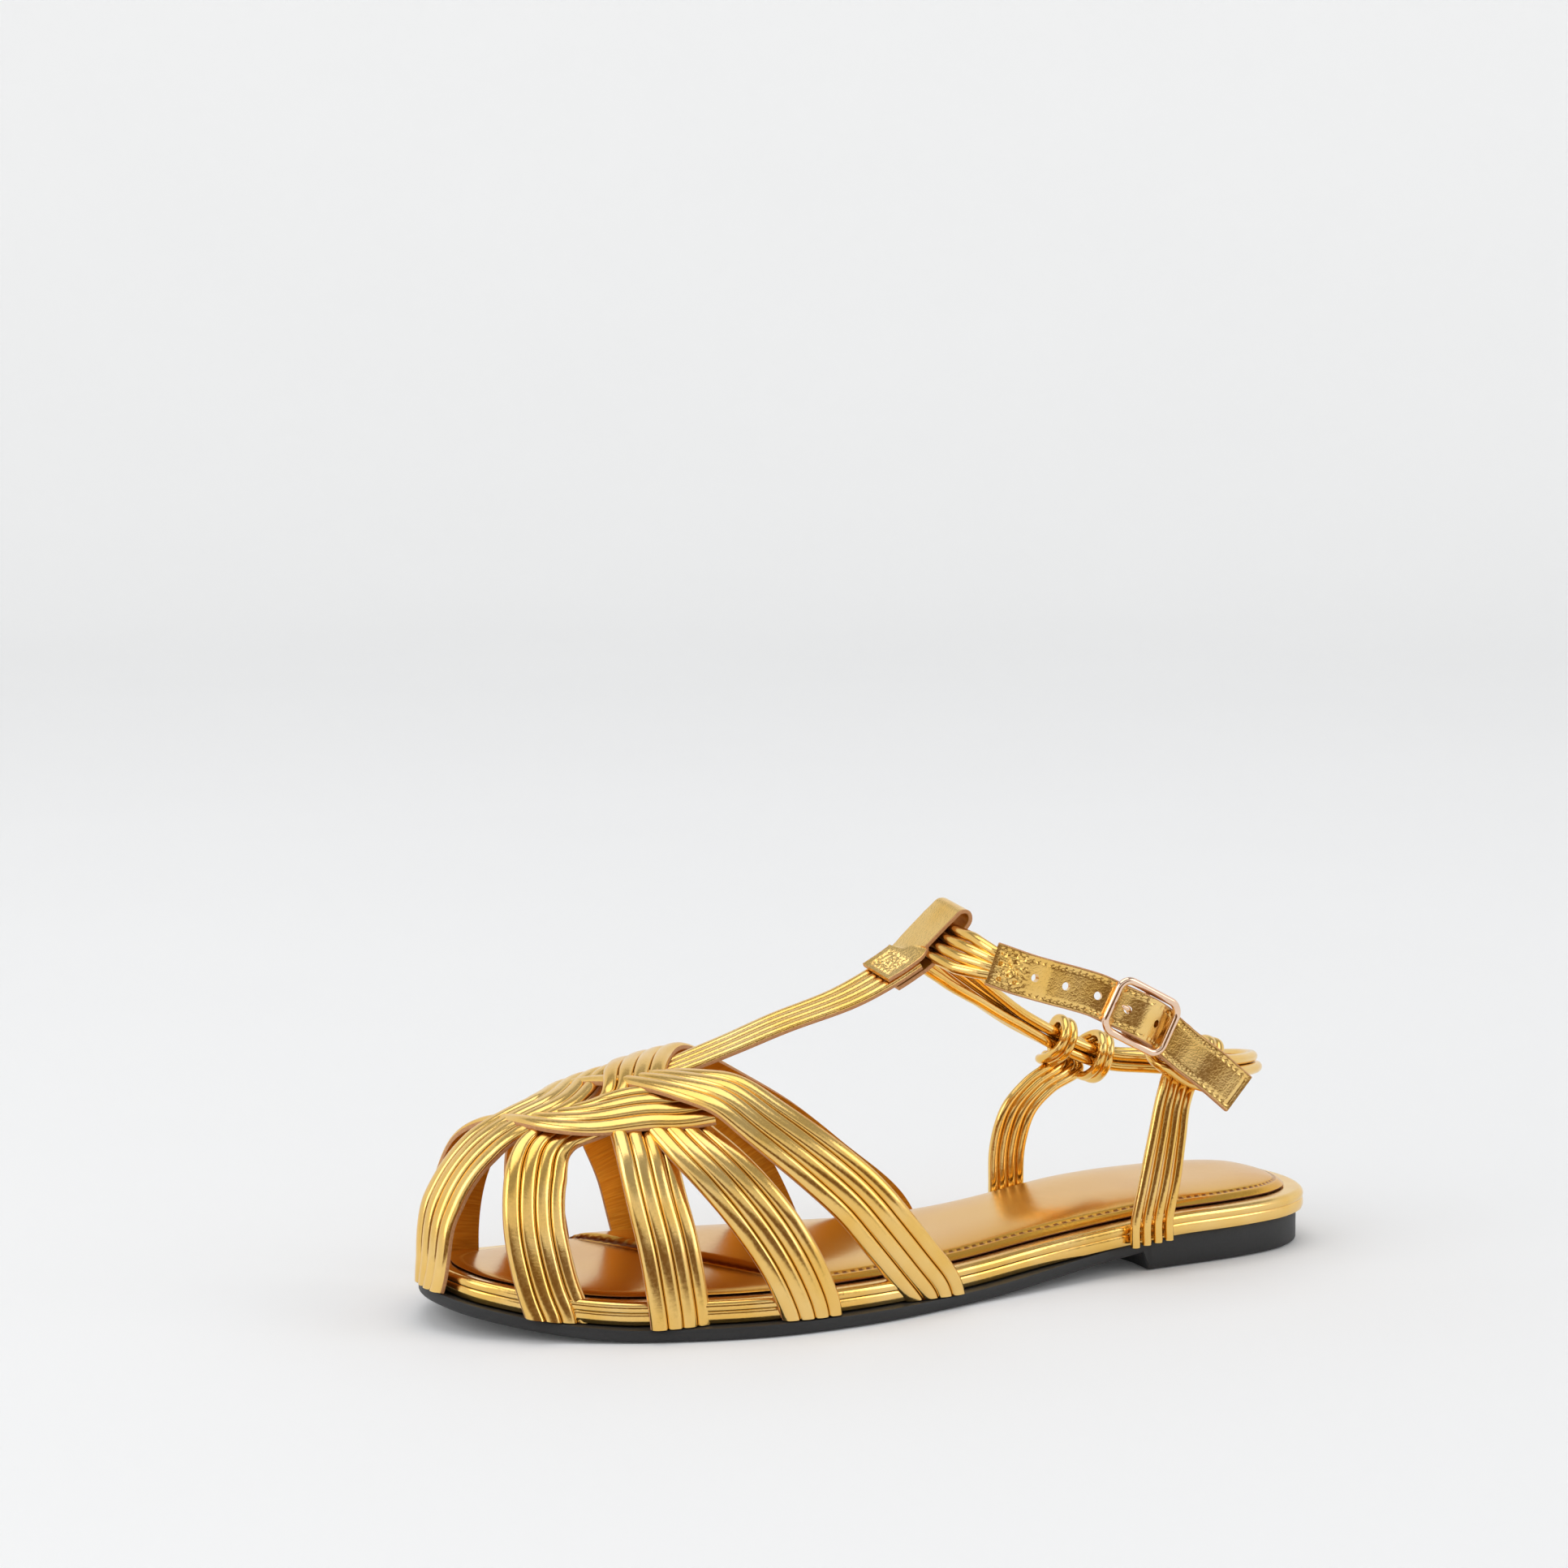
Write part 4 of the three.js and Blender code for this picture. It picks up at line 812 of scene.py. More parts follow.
def trimmed(rings, floor):
    """Each strand of the grid again between the places where it rises out of the floor and comes back
    to it: rows are taken at even shares between the two crossings."""
    above = rings[..., 2] - floor(rings[..., 0])
    n = len(rings)
    high = above > 0
    first = np.argmax(high, 0)
    last = n - 1 - np.argmax(high[::-1], 0)
    column = np.arange(rings.shape[1])

    def crossing(inner, outer):
        a, b = above[outer, column], above[inner, column]
        share = np.where(b - a > 1e-9, -a / np.maximum(b - a, 1e-9), 0)
        return outer + (inner - outer) * np.clip(share, 0, 1)

    start = np.where(first > 0, crossing(first, np.maximum(first - 1, 0)), 0.0)
    end = np.where(last < n - 1, crossing(last, np.minimum(last + 1, n - 1)), n - 1.0)
    at = start + (end - start) * np.linspace(0, 1, n)[:, None]
    low = np.clip(at.astype(int), 0, n - 2)
    part = (at - low)[..., None]
    return rings[low, column] * (1 - part) + rings[low + 1, column] * part


def eased(path, spread):
    """The path with each point replaced by a bell-weighted mean of its neighbours. Past its ends it is
    continued by its own reflection, so that the ends stay."""
    step = lengths(path)[-1] / (len(path) - 1)
    count = min(int(3 * spread / step), len(path) - 1)
    before = 2 * path[0] - path[1:count + 1][::-1]
    after = 2 * path[-1] - path[-count - 1:-1][::-1]
    wide = np.vstack([before, path, after])
    weights = np.exp(-((np.arange(-count, count + 1) * step / spread) ** 2) / 2)
    weights = weights / weights.sum()
    return np.stack([np.convolve(wide[:, k], weights, "valid") for k in range(3)], 1)


LEANS = {"toe_from_outer": [(0, 0.0), (0.1, 0.08), (0.25, 0.36), (0.42, 0.36), (0.6, 0.12), (1, 0)]}
SQUEEZED = {"toe_from_inner": [(0, 0.92), (0.4, 0.92), (0.52, 0.8), (0.66, 1), (1, 1)],
            "second_from_outer": [(0, 1), (0.2, 1), (0.27, 0.72), (0.34, 0.8), (0.42, 1), (1, 1)]}


def band(name, rows, seed):
    path, _ = spline(band_path(rows), 24)
    path, = evenly(path, 1.0)
    path = eased(path, 2.6)
    along = lengths(path)
    table = np.array(SQUEEZED.get(name, [(0, 1), (1, 1)]), float)
    squeeze = np.interp(along / along[-1], table[:, 0], table[:, 1])
    section, kinds = ribbed(BAND_WIDTH, BAND, 42.0, along, seed, squeeze=squeeze)
    table = np.array(LEANS.get(name, [(0, 0), (1, 0)]), float)
    lean = np.interp(along / along[-1], table[:, 0], table[:, 1])
    outward = out_of_last(path) + lean[:, None] * [0.0, 1.0, 0.0]
    rings = trimmed(carried(path, outward, section), lambda x: outsole_top(x) + GAP)
    around = np.concatenate([[0], np.cumsum(np.linalg.norm(np.diff(section[0], axis=0), axis=1))])
    around = np.append(around, around[-1] + 1)
    return finished("band_" + name, "upper", [tube_grid(rings, along, around, part=kinds)],
                    [band_foil, raw_edge, lining, groove], crease=50)


for number, (name, rows) in enumerate(BANDS.items()):
    band(name, rows, 1.7 * number)

# %% [markdown]
# The instep strap is the same idea, slimmer: four thin cords under crackled foil, sewn in below the
# braid, and leaning a little to the outer side of the foot.


# %% Instep strap
def shoe_point(along, side, height):
    return np.array([along * SOLE_LENGTH, side * HALF_BALL, height * ANKLE_HEIGHT])


instep_rows = np.array([shoe_point(*row) for row in [
    [0.79, -0.07, 0.575], [0.748, -0.06, 0.603], [0.714, -0.055, 0.628], [0.669, -0.05, 0.664],
    [0.614, -0.045, 0.71], [0.539, -0.045, 0.763], [0.496, -0.045, 0.81], [0.4635, -0.045, 0.855]]])
instep_line, = evenly(spline(instep_rows, 24)[0], 0.6)
instep_far = lengths(instep_line)
roll = np.radians(13) * instep_far / instep_far[-1]
instep_up = np.stack([0 * roll, np.sin(roll), np.cos(roll)], 1)
section, kinds = ribbed(12.4, 2.0, 200.0, instep_far, 5.0, waver=0.05)
rings = carried(instep_line, instep_up, section)
around = np.concatenate([[0], np.cumsum(np.linalg.norm(np.diff(section[0], axis=0), axis=1))])
finished("instep_strap", "upper",
         [tube_grid(rings, instep_far, np.append(around, around[-1] + 1), part=kinds)],
         [strap_foil, raw_edge, lining, groove], crease=50)

# %% [markdown]
# ## The buckle
# The buckle has its own ways: back along the strap, out of the ankle and down across the strap. The
# frame is a rounded rectangle of wire with a bar behind it, on which the prong turns.

# %% Buckle frame and prong
buckle_centre = shoe_point(0.27, 0.789, 0.713)
buckle_back = unit(np.array([-0.885, 0, -0.466]))
buckle_out = np.array([0.0, 1.0, 0.0])
buckle_down = np.cross(buckle_back, buckle_out)


def at_buckle(back, out, down=0.0):
    back, out, down = np.broadcast_arrays(*(np.asarray(v, float) for v in (back, out, down)))
    return (buckle_centre + back[..., None] * buckle_back + out[..., None] * buckle_out
            + down[..., None] * buckle_down)


WIRE, BAR, BAR_DEPTH, PRONG = 2.1, 1.8, 2.0, 1.3
FRAME_END, RAIL, CORNER = 9.8, STRAP_WIDTH / 2 + 0.4 + WIRE / 2, 3.4
turns = np.radians(np.arange(0, 91, 7.5))
corner_c, corner_s = np.cos(turns), np.sin(turns)
frame_path = np.vstack([
    at_buckle((FRAME_END - CORNER) + CORNER * corner_c, 0, (RAIL - CORNER) + CORNER * corner_s),
    at_buckle(-(FRAME_END - CORNER) - CORNER * corner_s, 0, (RAIL - CORNER) + CORNER * corner_c),
    at_buckle(-(FRAME_END - CORNER) - CORNER * corner_c, 0, -(RAIL - CORNER) - CORNER * corner_s),
    at_buckle((FRAME_END - CORNER) + CORNER * corner_s, 0, -(RAIL - CORNER) - CORNER * corner_c)])
bar_path = spline(at_buckle([0, 0, 0, 0, 0, 0, 0],
                            [0, -0.8 * BAR_DEPTH, -BAR_DEPTH, -BAR_DEPTH, -BAR_DEPTH, -0.8 * BAR_DEPTH, 0],
                            [-RAIL, -RAIL, -RAIL + 0.72, 0, RAIL - 0.72, RAIL, RAIL]), 10)[0]
finished("buckle_wire", "buckle_frame",
         [tube(frame_path, WIRE / 2, 20, closed=True), tube(bar_path, BAR / 2, 16)], [rose])

EYE = BAR / 2 + GAP + PRONG / 2
CREST = -BAR_DEPTH + EYE + PRONG / 2 + GAP + STRAP / 2
DIP = -WIRE / 2 - 0.4 - GAP / 2 - STRAP / 2
angle = np.arange(28) / 28 * 2 * np.pi
TIP = CREST - STRAP / 2 + PRONG
shank = spline(at_buckle([-0.75 * EYE, 0.67 * -4.8, -4.8, 1.25 * -4.8, -7.6],
                         [-BAR_DEPTH - 0.66 * EYE, -BAR_DEPTH + 0.1, 0.25 * TIP, 0.85 * TIP, TIP]), 10)[0]
taper = np.interp(np.linspace(0, 1, len(shank)), [0, 0.8, 1], [0.65, 0.65, 0.5])
finished("buckle_pin", "buckle_prong",
         [tube(at_buckle(EYE * np.cos(angle), -BAR_DEPTH + EYE * np.sin(angle)), PRONG / 2, 14, closed=True),
          tube(shank, taper, 14, rounded=True)], [rose])

# %% [markdown]
# ## Straps with relief
# The billet, the tab and the buckle strap are flat leather strips. One function carries a flat section
# along rows that give place, outward way, width and thickness. A relief can raise or press the outer
# face, for stitches, borders and lumps.


# %% Flat strips
def strip(rows, step, relief=None, across=33, materials=(0, 1, 2), easing=0.35):
    """Top face, cut edge, underside and cut edge of a strap. relief(far, u, widest) is added outwards
    on the top face, where far is the distance along and u the place across."""
    places = np.array([row[0] for row in rows])
    path, at = spline(places, 24)
    number = np.arange(len(rows))
    outs = mixed(at, number, np.array([unit(np.asarray(row[1], float)) for row in rows]))
    sizes = mixed(at, number, np.array([[row[2], row[3]] for row in rows]))
    path, outs, sizes = evenly(path, step, outs, sizes)
    far = lengths(path)
    share = np.linspace(1, -1, across)
    half, thick = sizes[:, :1] / 2, sizes[:, 1:] / 2
    top_u = share[None] * (half - easing)
    top_v = np.broadcast_to(thick, top_u.shape).copy()
    if relief is not None:
        top_v += relief(far[:, None], top_u, half)
    side_u = np.hstack([-half + 0.08 * easing, -half, -half, -half + easing])
    side_v = np.hstack([thick - 0.3 * easing, thick - easing, easing - thick, -thick])
    low_u = np.linspace(-0.9, 0.9, 9)[None] * (half - easing)
    low_v = np.broadcast_to(-thick, low_u.shape)
    u = np.hstack([top_u, side_u, low_u, -side_u[:, ::-1]])
    v = np.hstack([top_v, side_v, low_v, side_v[:, ::-1]])
    kinds = np.concatenate([np.full(across - 1, materials[0]), np.full(4, materials[1]),
                            np.full(10, materials[2]), np.full(4, materials[1])])
    kinds = np.append(kinds, materials[1])[:u.shape[1]]
    rings = carried(path, outs, np.stack([u, v], -1))
    around = np.concatenate([[0], np.cumsum(np.hypot(np.diff(u[0]), np.diff(v[0])))])
    return tube_grid(rings, far, np.append(around, around[-1] + 1), part=kinds), path, outs, far


def stitched(far, u, line, pitch=2.3, depth=0.22, rise=0.3):
    """A pressed line with threads that bulge in it: a groove minus humps at an even pitch."""
    groove = np.exp(-(((np.abs(u) - line) / 0.42) ** 2))
    hump = np.maximum(np.sin(far * 2 * np.pi / pitch), 0) ** 0.7
    thread = np.exp(-(((np.abs(u) - line) / 0.3) ** 2)) * hump
    return -depth * groove + rise * thread


def lumps(far, u, seed, size):
    """An uneven crumple: ridges where a sum of waves in six directions goes through zero."""
    total = 0.0 * (far + u)
    for k in range(6):
        way = seed + 2.4 * k
        wave = (far * np.cos(way) + u * np.sin(way)) * (1.0 + 0.3 * k) / size
        total = total + np.sin(wave + 1.7 * k * seed)
    return 0.4 - 0.4 * np.abs(total)


# %% Billet
SOCKET = CORD + 2 * GAP + 1.6
END = FRAME_END


def dip_to_crest(share):
    return DIP + (CREST - DIP) * share


flat = lambda place, thick=STRAP: (place, buckle_out, STRAP_WIDTH, thick)
billet_rows = [
    flat(shoe_point(0.417, 0.489, 0.865), SOCKET), flat(shoe_point(0.389, 0.578, 0.836), SOCKET),
    flat(shoe_point(0.364, 0.62, 0.815)), flat(shoe_point(0.336, 0.665, 0.793)),
    flat(shoe_point(0.315, 0.705, 0.774)), flat(at_buckle(-END, DIP)),
    flat(at_buckle(-0.8 * END, dip_to_crest(0.06))), flat(at_buckle(-0.45 * END, dip_to_crest(0.62))),
    flat(at_buckle(0, CREST)), flat(at_buckle(0.45 * END, dip_to_crest(0.62))),
    flat(at_buckle(0.8 * END, dip_to_crest(0.06))), flat(at_buckle(END, DIP, 0.04 * STRAP_WIDTH)),
    flat(at_buckle(1.6 * END, dip_to_crest(0.5), 0.2 * STRAP_WIDTH)),
    flat(at_buckle(2.35 * END, 1.6 * STRAP, 0.36 * STRAP_WIDTH)),
    flat(at_buckle(3.45 * END, 2.75 * STRAP, 0.6 * STRAP_WIDTH))]


def billet_relief(far, u, half):
    """Stitches near both edges, a crumpled patch over the cord ends, and a border near the tip."""
    body = stitched(far, u, 4.4, pitch=1.9, depth=0.26, rise=0.42) * smoothstep(far, 0.5, 2)
    tip = far.max() - far
    body = body * smoothstep(tip, 1.0, 1.8) - 0.25 * np.exp(-(((tip - 1.3) / 0.4) ** 2)) * (np.abs(u) < 4.6)
    patch = (1 - smoothstep(far, 7.5, 10)) * (1 - smoothstep(np.abs(u), 3.4, 4.4)) * smoothstep(far, 0.8, 2)
    return body + patch * 0.45 * lumps(far, u, 0.7, 0.6)


billet_part, billet_path, _, billet_far = strip(billet_rows, 0.4, billet_relief, 45)
billet = finished("billet_strap", "billet", [billet_part], [crackled_foil, raw_edge, lining])

# %% [markdown]
# The holes are punched right through. A Boolean with one small round cutter to each hole does that,
# and the same cut opens the socket at the front end, into which the cord ends go. The modifier is
# applied at once and the cutter is removed.


# %% Holes and sockets
def cut(piece, name, parts):
    """Takes closed grids out of a piece and keeps the result as its mesh."""
    points, quads, base = [], [], 0
    for p, q, uv, kind in parts:
        points.append(p)
        quads.append((q if signed_volume(p, q) > 0 else q[:, ::-1]) + base)
        base += len(p)
    tool_mesh = bpy.data.meshes.new(name)
    tool_mesh.from_pydata(((np.vstack(points) - [SETBACK, 0, 0]) * 0.001).tolist(), [],
                          np.vstack(quads).tolist())
    tool = bpy.data.objects.new(name, tool_mesh)
    bpy.context.scene.collection.objects.link(tool)
    modifier = piece.modifiers.new("cut", "BOOLEAN")
    modifier.operation, modifier.solver, modifier.object = "DIFFERENCE", "EXACT", tool
    modifier.use_self = True
    graph = bpy.context.evaluated_depsgraph_get()
    result = bpy.data.meshes.new_from_object(piece.evaluated_get(graph))
    old = piece.data
    piece.modifiers.clear()
    piece.data = result
    result.name = old.name
    bpy.data.meshes.remove(old)
    bpy.data.objects.remove(tool)
    print(f"{piece.name}: cut, now {len(result.polygons)} faces")


def block(place, way, out, size):
    """A box given by its middle, two directions and three whole sizes."""
    across = np.cross(way, out)
    u = np.array([1, 1, -1, -1]) * size[1] / 2
    v = np.array([1, -1, -1, 1]) * size[2] / 2
    ring = u[:, None] * across + v[:, None] * out
    rings = np.stack([place - way * size[0] / 2 + ring, place + way * size[0] / 2 + ring])
    return tube_grid(rings, np.array([0.0, size[0]]), np.arange(5.0))


prong_place = at_buckle(-4.8, dip_to_crest(0.7))
prong_row = int(np.argmin(np.linalg.norm(billet_path - prong_place, axis=1)))
hole_far = billet_far[prong_row] + np.array([-27, -18, -9, 0, 9.0])
hole_place = mixed(hole_far, billet_far, billet_path)
hole_way = unit(mixed(hole_far, billet_far, np.gradient(billet_path, axis=0)))
hole_out = unit(buckle_out - np.sum(hole_way * buckle_out, 1, keepdims=True) * hole_way)
drills = [tube(np.linspace(p - 4 * o, p + 4 * o, 3), 1.1, 20) for p, o in zip(hole_place, hole_out)]
mouth_way = unit(billet_path[3] - billet_path[0])
mouth_out = unit(buckle_out - np.dot(buckle_out, mouth_way) * mouth_way)
socket = block(billet_path[0] + mouth_way * 2.4, mouth_way, mouth_out, (6.6, 9.8, CORD + 0.5))
cut(billet, "drills", [*drills, socket])

# %% [markdown]
# The short strap folds round the bar and takes the other cord ends between its two layers.

# %% Buckle strap
FOLD = 1.0
fold_radius = BAR / 2 + GAP + FOLD / 2
mouth = 1.03 * END
drop = DIP - STRAP / 2 - GAP - SOCKET / 2
layer = (SOCKET - FOLD) / 2
fold = np.radians([60, 100, 140, 180, 220, 260])
fold_rows = [(at_buckle(mouth, drop + layer), (0, 1, 0)),
             (at_buckle(0.75 * mouth, drop + layer), (0, 1, 0)),
             (at_buckle(0.42 * mouth, -BAR_DEPTH + 0.2), (0, 1, 0))]
fold_rows += [(at_buckle(fold_radius * np.cos(a), -BAR_DEPTH + fold_radius * np.sin(a)),
               np.cos(a) * buckle_back + np.sin(a) * buckle_out) for a in fold]
fold_rows += [(at_buckle(0.4 * mouth, 0.6 * (drop - layer) - 0.4 * (BAR_DEPTH + fold_radius)), (0, -1, 0)),
              (at_buckle(0.7 * mouth, drop - layer), (0, -1, 0)),
              (at_buckle(mouth, drop - layer), (0, -1, 0))]
tail_part, _, _, _ = strip([(p, o, STRAP_WIDTH, FOLD) for p, o in fold_rows], 0.5,
                           lambda far, u, half: stitched(far, u, 4.2, rise=0.2), 33)
tail = finished("buckle_tail", "buckle_strap", [tail_part], [crackled_foil, raw_edge, lining])
slot_box = block(at_buckle(-0.6, -BAR_DEPTH), buckle_back, buckle_out, (2 * (EYE + 1.7), 2.1, 7.5))
cut(tail, "prong_slot", [slot_box])

# %% [markdown]
# ## The cords
# Four cords go once round the ankle. They lie flat in a row where they pass the loop and where they
# enter a strap, and bunch into a round bundle in between. The row rolls up: the outer two fold in by
# an angle that grows as the row loses its flatness.


# %% Ankle cords
ankle_middle = 0.26 * SOLE_LENGTH


def out_of_ankle(place, tilt):
    level = np.array([place[0] - ankle_middle, place[1], 0.0])
    level[2] = tilt * np.linalg.norm(level)
    return unit(level)


CORD_PITCH, TIGHT = 1.02 * CORD, 0.66 * CORD
loop_centre = shoe_point(0.4366, -0.044, 0.91)
loop_across = np.array([0, np.cos(np.radians(8)), -np.sin(np.radians(8))])
LOOP_WIDTH = 13.0
in_loop = lambda side: loop_centre + loop_across * side * (LOOP_WIDTH / 2 + 2)
outer_hitch, inner_hitch = shoe_point(0.194, 0.593, 0.582), shoe_point(0.197, -0.673, 0.508)
mouth_place = billet_rows[0][0]
billet_way = unit(billet_rows[1][0] - mouth_place)
cord_table = [
    (mouth_place + billet_way * 5, 1, 0.3, TIGHT), (mouth_place, 1, 0.3, TIGHT),
    (shoe_point(0.4331, 0.331, 0.886), 1, 0.7), (in_loop(1), 1, 1), (in_loop(0), 1, 1), (in_loop(-1), 1, 1),
    (shoe_point(0.42, -0.364, 0.869), 0.8, 0.8), (shoe_point(0.386, -0.467, 0.796), 0.5, 0.4),
    (shoe_point(0.331, -0.589, 0.704), 0.2, 0.2), (shoe_point(0.272, -0.655, 0.608), 0, 0),
    (inner_hitch, 0, 0), (shoe_point(0.157, -0.644, 0.472), 0, 0), (shoe_point(0.118, -0.556, 0.464), 0, 0.2),
    (shoe_point(0.083, -0.311, 0.469), 0, 0.4), (shoe_point(0.069, 0, 0.49), 0, 0.5),
    (shoe_point(0.081, 0.289, 0.51), 0, 0.4), (shoe_point(0.114, 0.455, 0.522), 0, 0.2),
    (shoe_point(0.152, 0.556, 0.54), 0, 0), (outer_hitch, 0, 0), (shoe_point(0.224, 0.622, 0.633), 0, 0),
    (at_buckle(mouth, drop), 1, 0, TIGHT), (at_buckle(mouth - 4, drop), 1, 0, TIGHT)]
cord_places = np.array([row[0] for row in cord_table])
cord_line, cord_at = spline(cord_places, 24)
rows = np.arange(len(cord_table))
cord_out = mixed(cord_at, rows, np.array([out_of_ankle(row[0], row[2]) for row in cord_table]))
cord_flat = mixed(cord_at, rows, [row[1] for row in cord_table])
cord_pitch = mixed(cord_at, rows, [row[3] if len(row) > 3 else CORD_PITCH for row in cord_table])
_, cord_up, cord_across = directions(cord_line, cord_out)
folded = (1 - cord_flat) * np.pi / 2
rise = (1 - cord_flat) * cord_pitch / 2
far_u = cord_pitch / 2 + cord_pitch * np.cos(folded)
far_v = rise - cord_pitch * np.sin(folded)
offsets = [(-far_u, far_v), (-cord_pitch / 2, rise), (cord_pitch / 2, rise), (far_u, far_v)]
cord_lines = [cord_line + cord_across * u[:, None] + cord_up * v[:, None] for u, v in offsets]
finished("cords", "ankle_cords",
         [tube(evenly(line, 1.3)[0], CORD / 2 - 0.03, 18) for line in cord_lines], [smooth_foil])

# %% [markdown]
# ## The stays
# Each stay is two loops of strand side by side. A loop runs up one leg, over the cords, down behind
# them, out below as a bar across the legs and back the same way: a cow hitch.


# %% Stays
STRAND_RADIUS = STRAND / 2
bundle = CORD_PITCH / np.sqrt(2) + CORD / 2
ring_radius = bundle + GAP + 0.4 + STRAND_RADIUS
bar_radius = ring_radius + 0.72 * STRAND
cord_far = lengths(cord_line)


def stay(name, node, hitch, outer, feet_along, foot_pitch, leg_rows):
    sign = 1.0 if outer else -1.0
    hitch_far = cord_far[np.argmin(np.linalg.norm(cord_line - hitch, axis=1))]

    def round_cords(angle, radius, shift):
        far = hitch_far + sign * shift
        centre = mixed(np.array([far]), cord_far, cord_line)[0]
        near = mixed(np.array([far - 0.5, far + 0.5]), cord_far, cord_line)
        way = unit(near[1] - near[0])
        out = unit(np.array([0, sign, 0]) - sign * way[1] * way)
        up = np.cross(way, out)
        up = up if up[2] > 0 else -up
        a = np.radians(angle)
        return centre + out * radius * np.cos(a) + up * radius * np.sin(a)

    way = unit(round_cords(0, 0, 1) - round_cords(0, 0, -1))

    def leg(offset):
        along = feet_along + offset * foot_pitch
        side = sides[outer]
        row = int(np.searchsorted(side[:, 0], along))
        slope = unit(side[row + 1] - side[row - 1])
        normal = np.array([-slope[1], slope[0], 0]) * (1 if outer else -1)
        base = np.array([along, edge_y(along, outer), 0]) + normal * (GAP + STRAND_RADIUS)
        foot = np.array([base[0], base[1], outsole_top(along) + GAP])
        knee = np.array([base[0], base[1], outsole_top(along) + MIDSOLE])
        free = []
        for i, row in enumerate(leg_rows):
            part = (i + 1) / (len(leg_rows) + 1)
            direction = np.array([1.0, 0, 0]) * (1 - part) + way * part
            pitch = foot_pitch * (1 - part) + 1.03 * STRAND * part
            free.append(shoe_point(*row) + direction * offset * pitch)
        return [foot, knee, *free]

    tubes = []
    for order, reach, bar_angle in ((1.5, 3, -58), (0.5, 2, -38)):
        halves = []
        for side in (1, -1):
            near, far = side * order * 1.03 * STRAND, side * reach * 1.03 * STRAND
            turn = [(-70, ring_radius, near), (-20, ring_radius, near),
                    (25, ring_radius, 0.5 * (near + far)), (70, ring_radius, 0.1 * near + 0.9 * far),
                    (115, ring_radius, far), (160, ring_radius, far), (205, ring_radius, far),
                    (250, ring_radius, far), (282, (ring_radius + bar_radius) / 2, 0.96 * far),
                    (360 + bar_angle, bar_radius, 0.8 * far)]
            halves.append([*leg(side * order), *[round_cords(*place) for place in turn]])
        points = [*halves[0], round_cords(bar_angle, 1.04 * bar_radius, 0), *halves[1][::-1]]
        tubes.append(tube(evenly(spline(points, 14)[0], 0.9)[0], STRAND_RADIUS - 0.02, 18))
    return finished(name, node, tubes, [smooth_foil])


stay("outer_stay", "lateral_stay", outer_hitch, True, 0.25 * SOLE_LENGTH, 1.36 * STRAND,
     [[0.239, 0.722, 0.255], [0.227, 0.69, 0.37], [0.216, 0.66, 0.47]])
stay("inner_stay", "medial_stay", inner_hitch, False, 0.287 * SOLE_LENGTH, 1.07 * STRAND,
     [[0.285, -0.655, 0.245], [0.272, -0.65, 0.347], [0.244, -0.67, 0.41]])

# %% [markdown]
# ## The tab
# A flat tab folds over the cords and holds the end of the instep strap between its two ends. Its front
# end is sewn down with a stitched box, inside which the foil is crumpled.

# %% Instep tab
TAB = 1.1
wrap = 1.0 + 0.05 + GAP + TAB / 2
cord_shift = CORD / 2 + GAP + TAB / 2
loop_out = out_of_ankle(loop_centre, 1)
loop_out = unit(loop_out - np.dot(loop_out, loop_across) * loop_across)
loop_up = np.cross(loop_out, loop_across)
row_half = 1.5 * CORD_PITCH + CORD / 2


def beside_strap(back, side):
    far = instep_far[-1] - max(back, 0)
    place = mixed(np.array([far]), instep_far, instep_line)[0]
    way = unit(mixed(np.array([far]), instep_far, np.gradient(instep_line, axis=0))[0])
    up = mixed(np.array([far]), instep_far, instep_up)[0]
    out = unit(up - np.dot(up, way) * way)
    return (place + way * max(-back, 0) + out * side * wrap, out * np.sign(side), LOOP_WIDTH, TAB)


def beside_cords(up, out, way):
    return (loop_centre + loop_up * up + loop_out * out, way, LOOP_WIDTH, TAB)


tab_top = row_half + GAP + TAB / 2 + 3.4
tab_rows = [
    beside_strap(10.4, 1), beside_strap(5, 1), beside_strap(0, 1.15),
    beside_cords(-0.9 * row_half, 1.15 * cord_shift, loop_out),
    beside_cords(0.6 * tab_top, cord_shift, loop_out),
    beside_cords(0.88 * tab_top, 0.85 * cord_shift, loop_out + loop_up),
    beside_cords(tab_top, 0.1 * cord_shift, loop_up),
    beside_cords(0.9 * tab_top, -0.7 * cord_shift, loop_up - loop_out),
    beside_cords(0.6 * tab_top, -cord_shift, -loop_out),
    beside_cords(-0.82 * row_half, -cord_shift, -loop_out),
    beside_strap(-0.4, -1), beside_strap(5, -1), beside_strap(8.6, -1)]


def tab_relief(far, u, half):
    """A stitched box near the front end, crumpled inside it."""
    x, y = far - 5.0, u
    away = np.maximum(np.abs(x) - 3.3, np.abs(y) - 4.0)
    around = np.where(np.abs(x) - 3.3 > np.abs(y) - 4.0, y, x)
    hump = np.maximum(np.sin(around * 2 * np.pi / 1.5), 0) ** 0.7
    box = (0.4 * hump - 0.32) * np.exp(-((away / 0.36) ** 2))
    inside = 1 - smoothstep(away, -0.6, 0.1)
    return box + inside * 0.4 * lumps(x, y, 2.1, 0.55)


tab_part, _, _, _ = strip(tab_rows, 0.4, tab_relief, 41, easing=0.22)
finished("instep_tab", "instep_loop", [tab_part], [crackled_foil, raw_edge, lining])

# %% [markdown]
# ## Studio
# A pale floor that curves up all round, so that no horizon shows, with large soft lamps above. Mirror
# foil also needs something dark to reflect: a dark screen stands on the photographer's side, and is
# itself hidden from the camera.


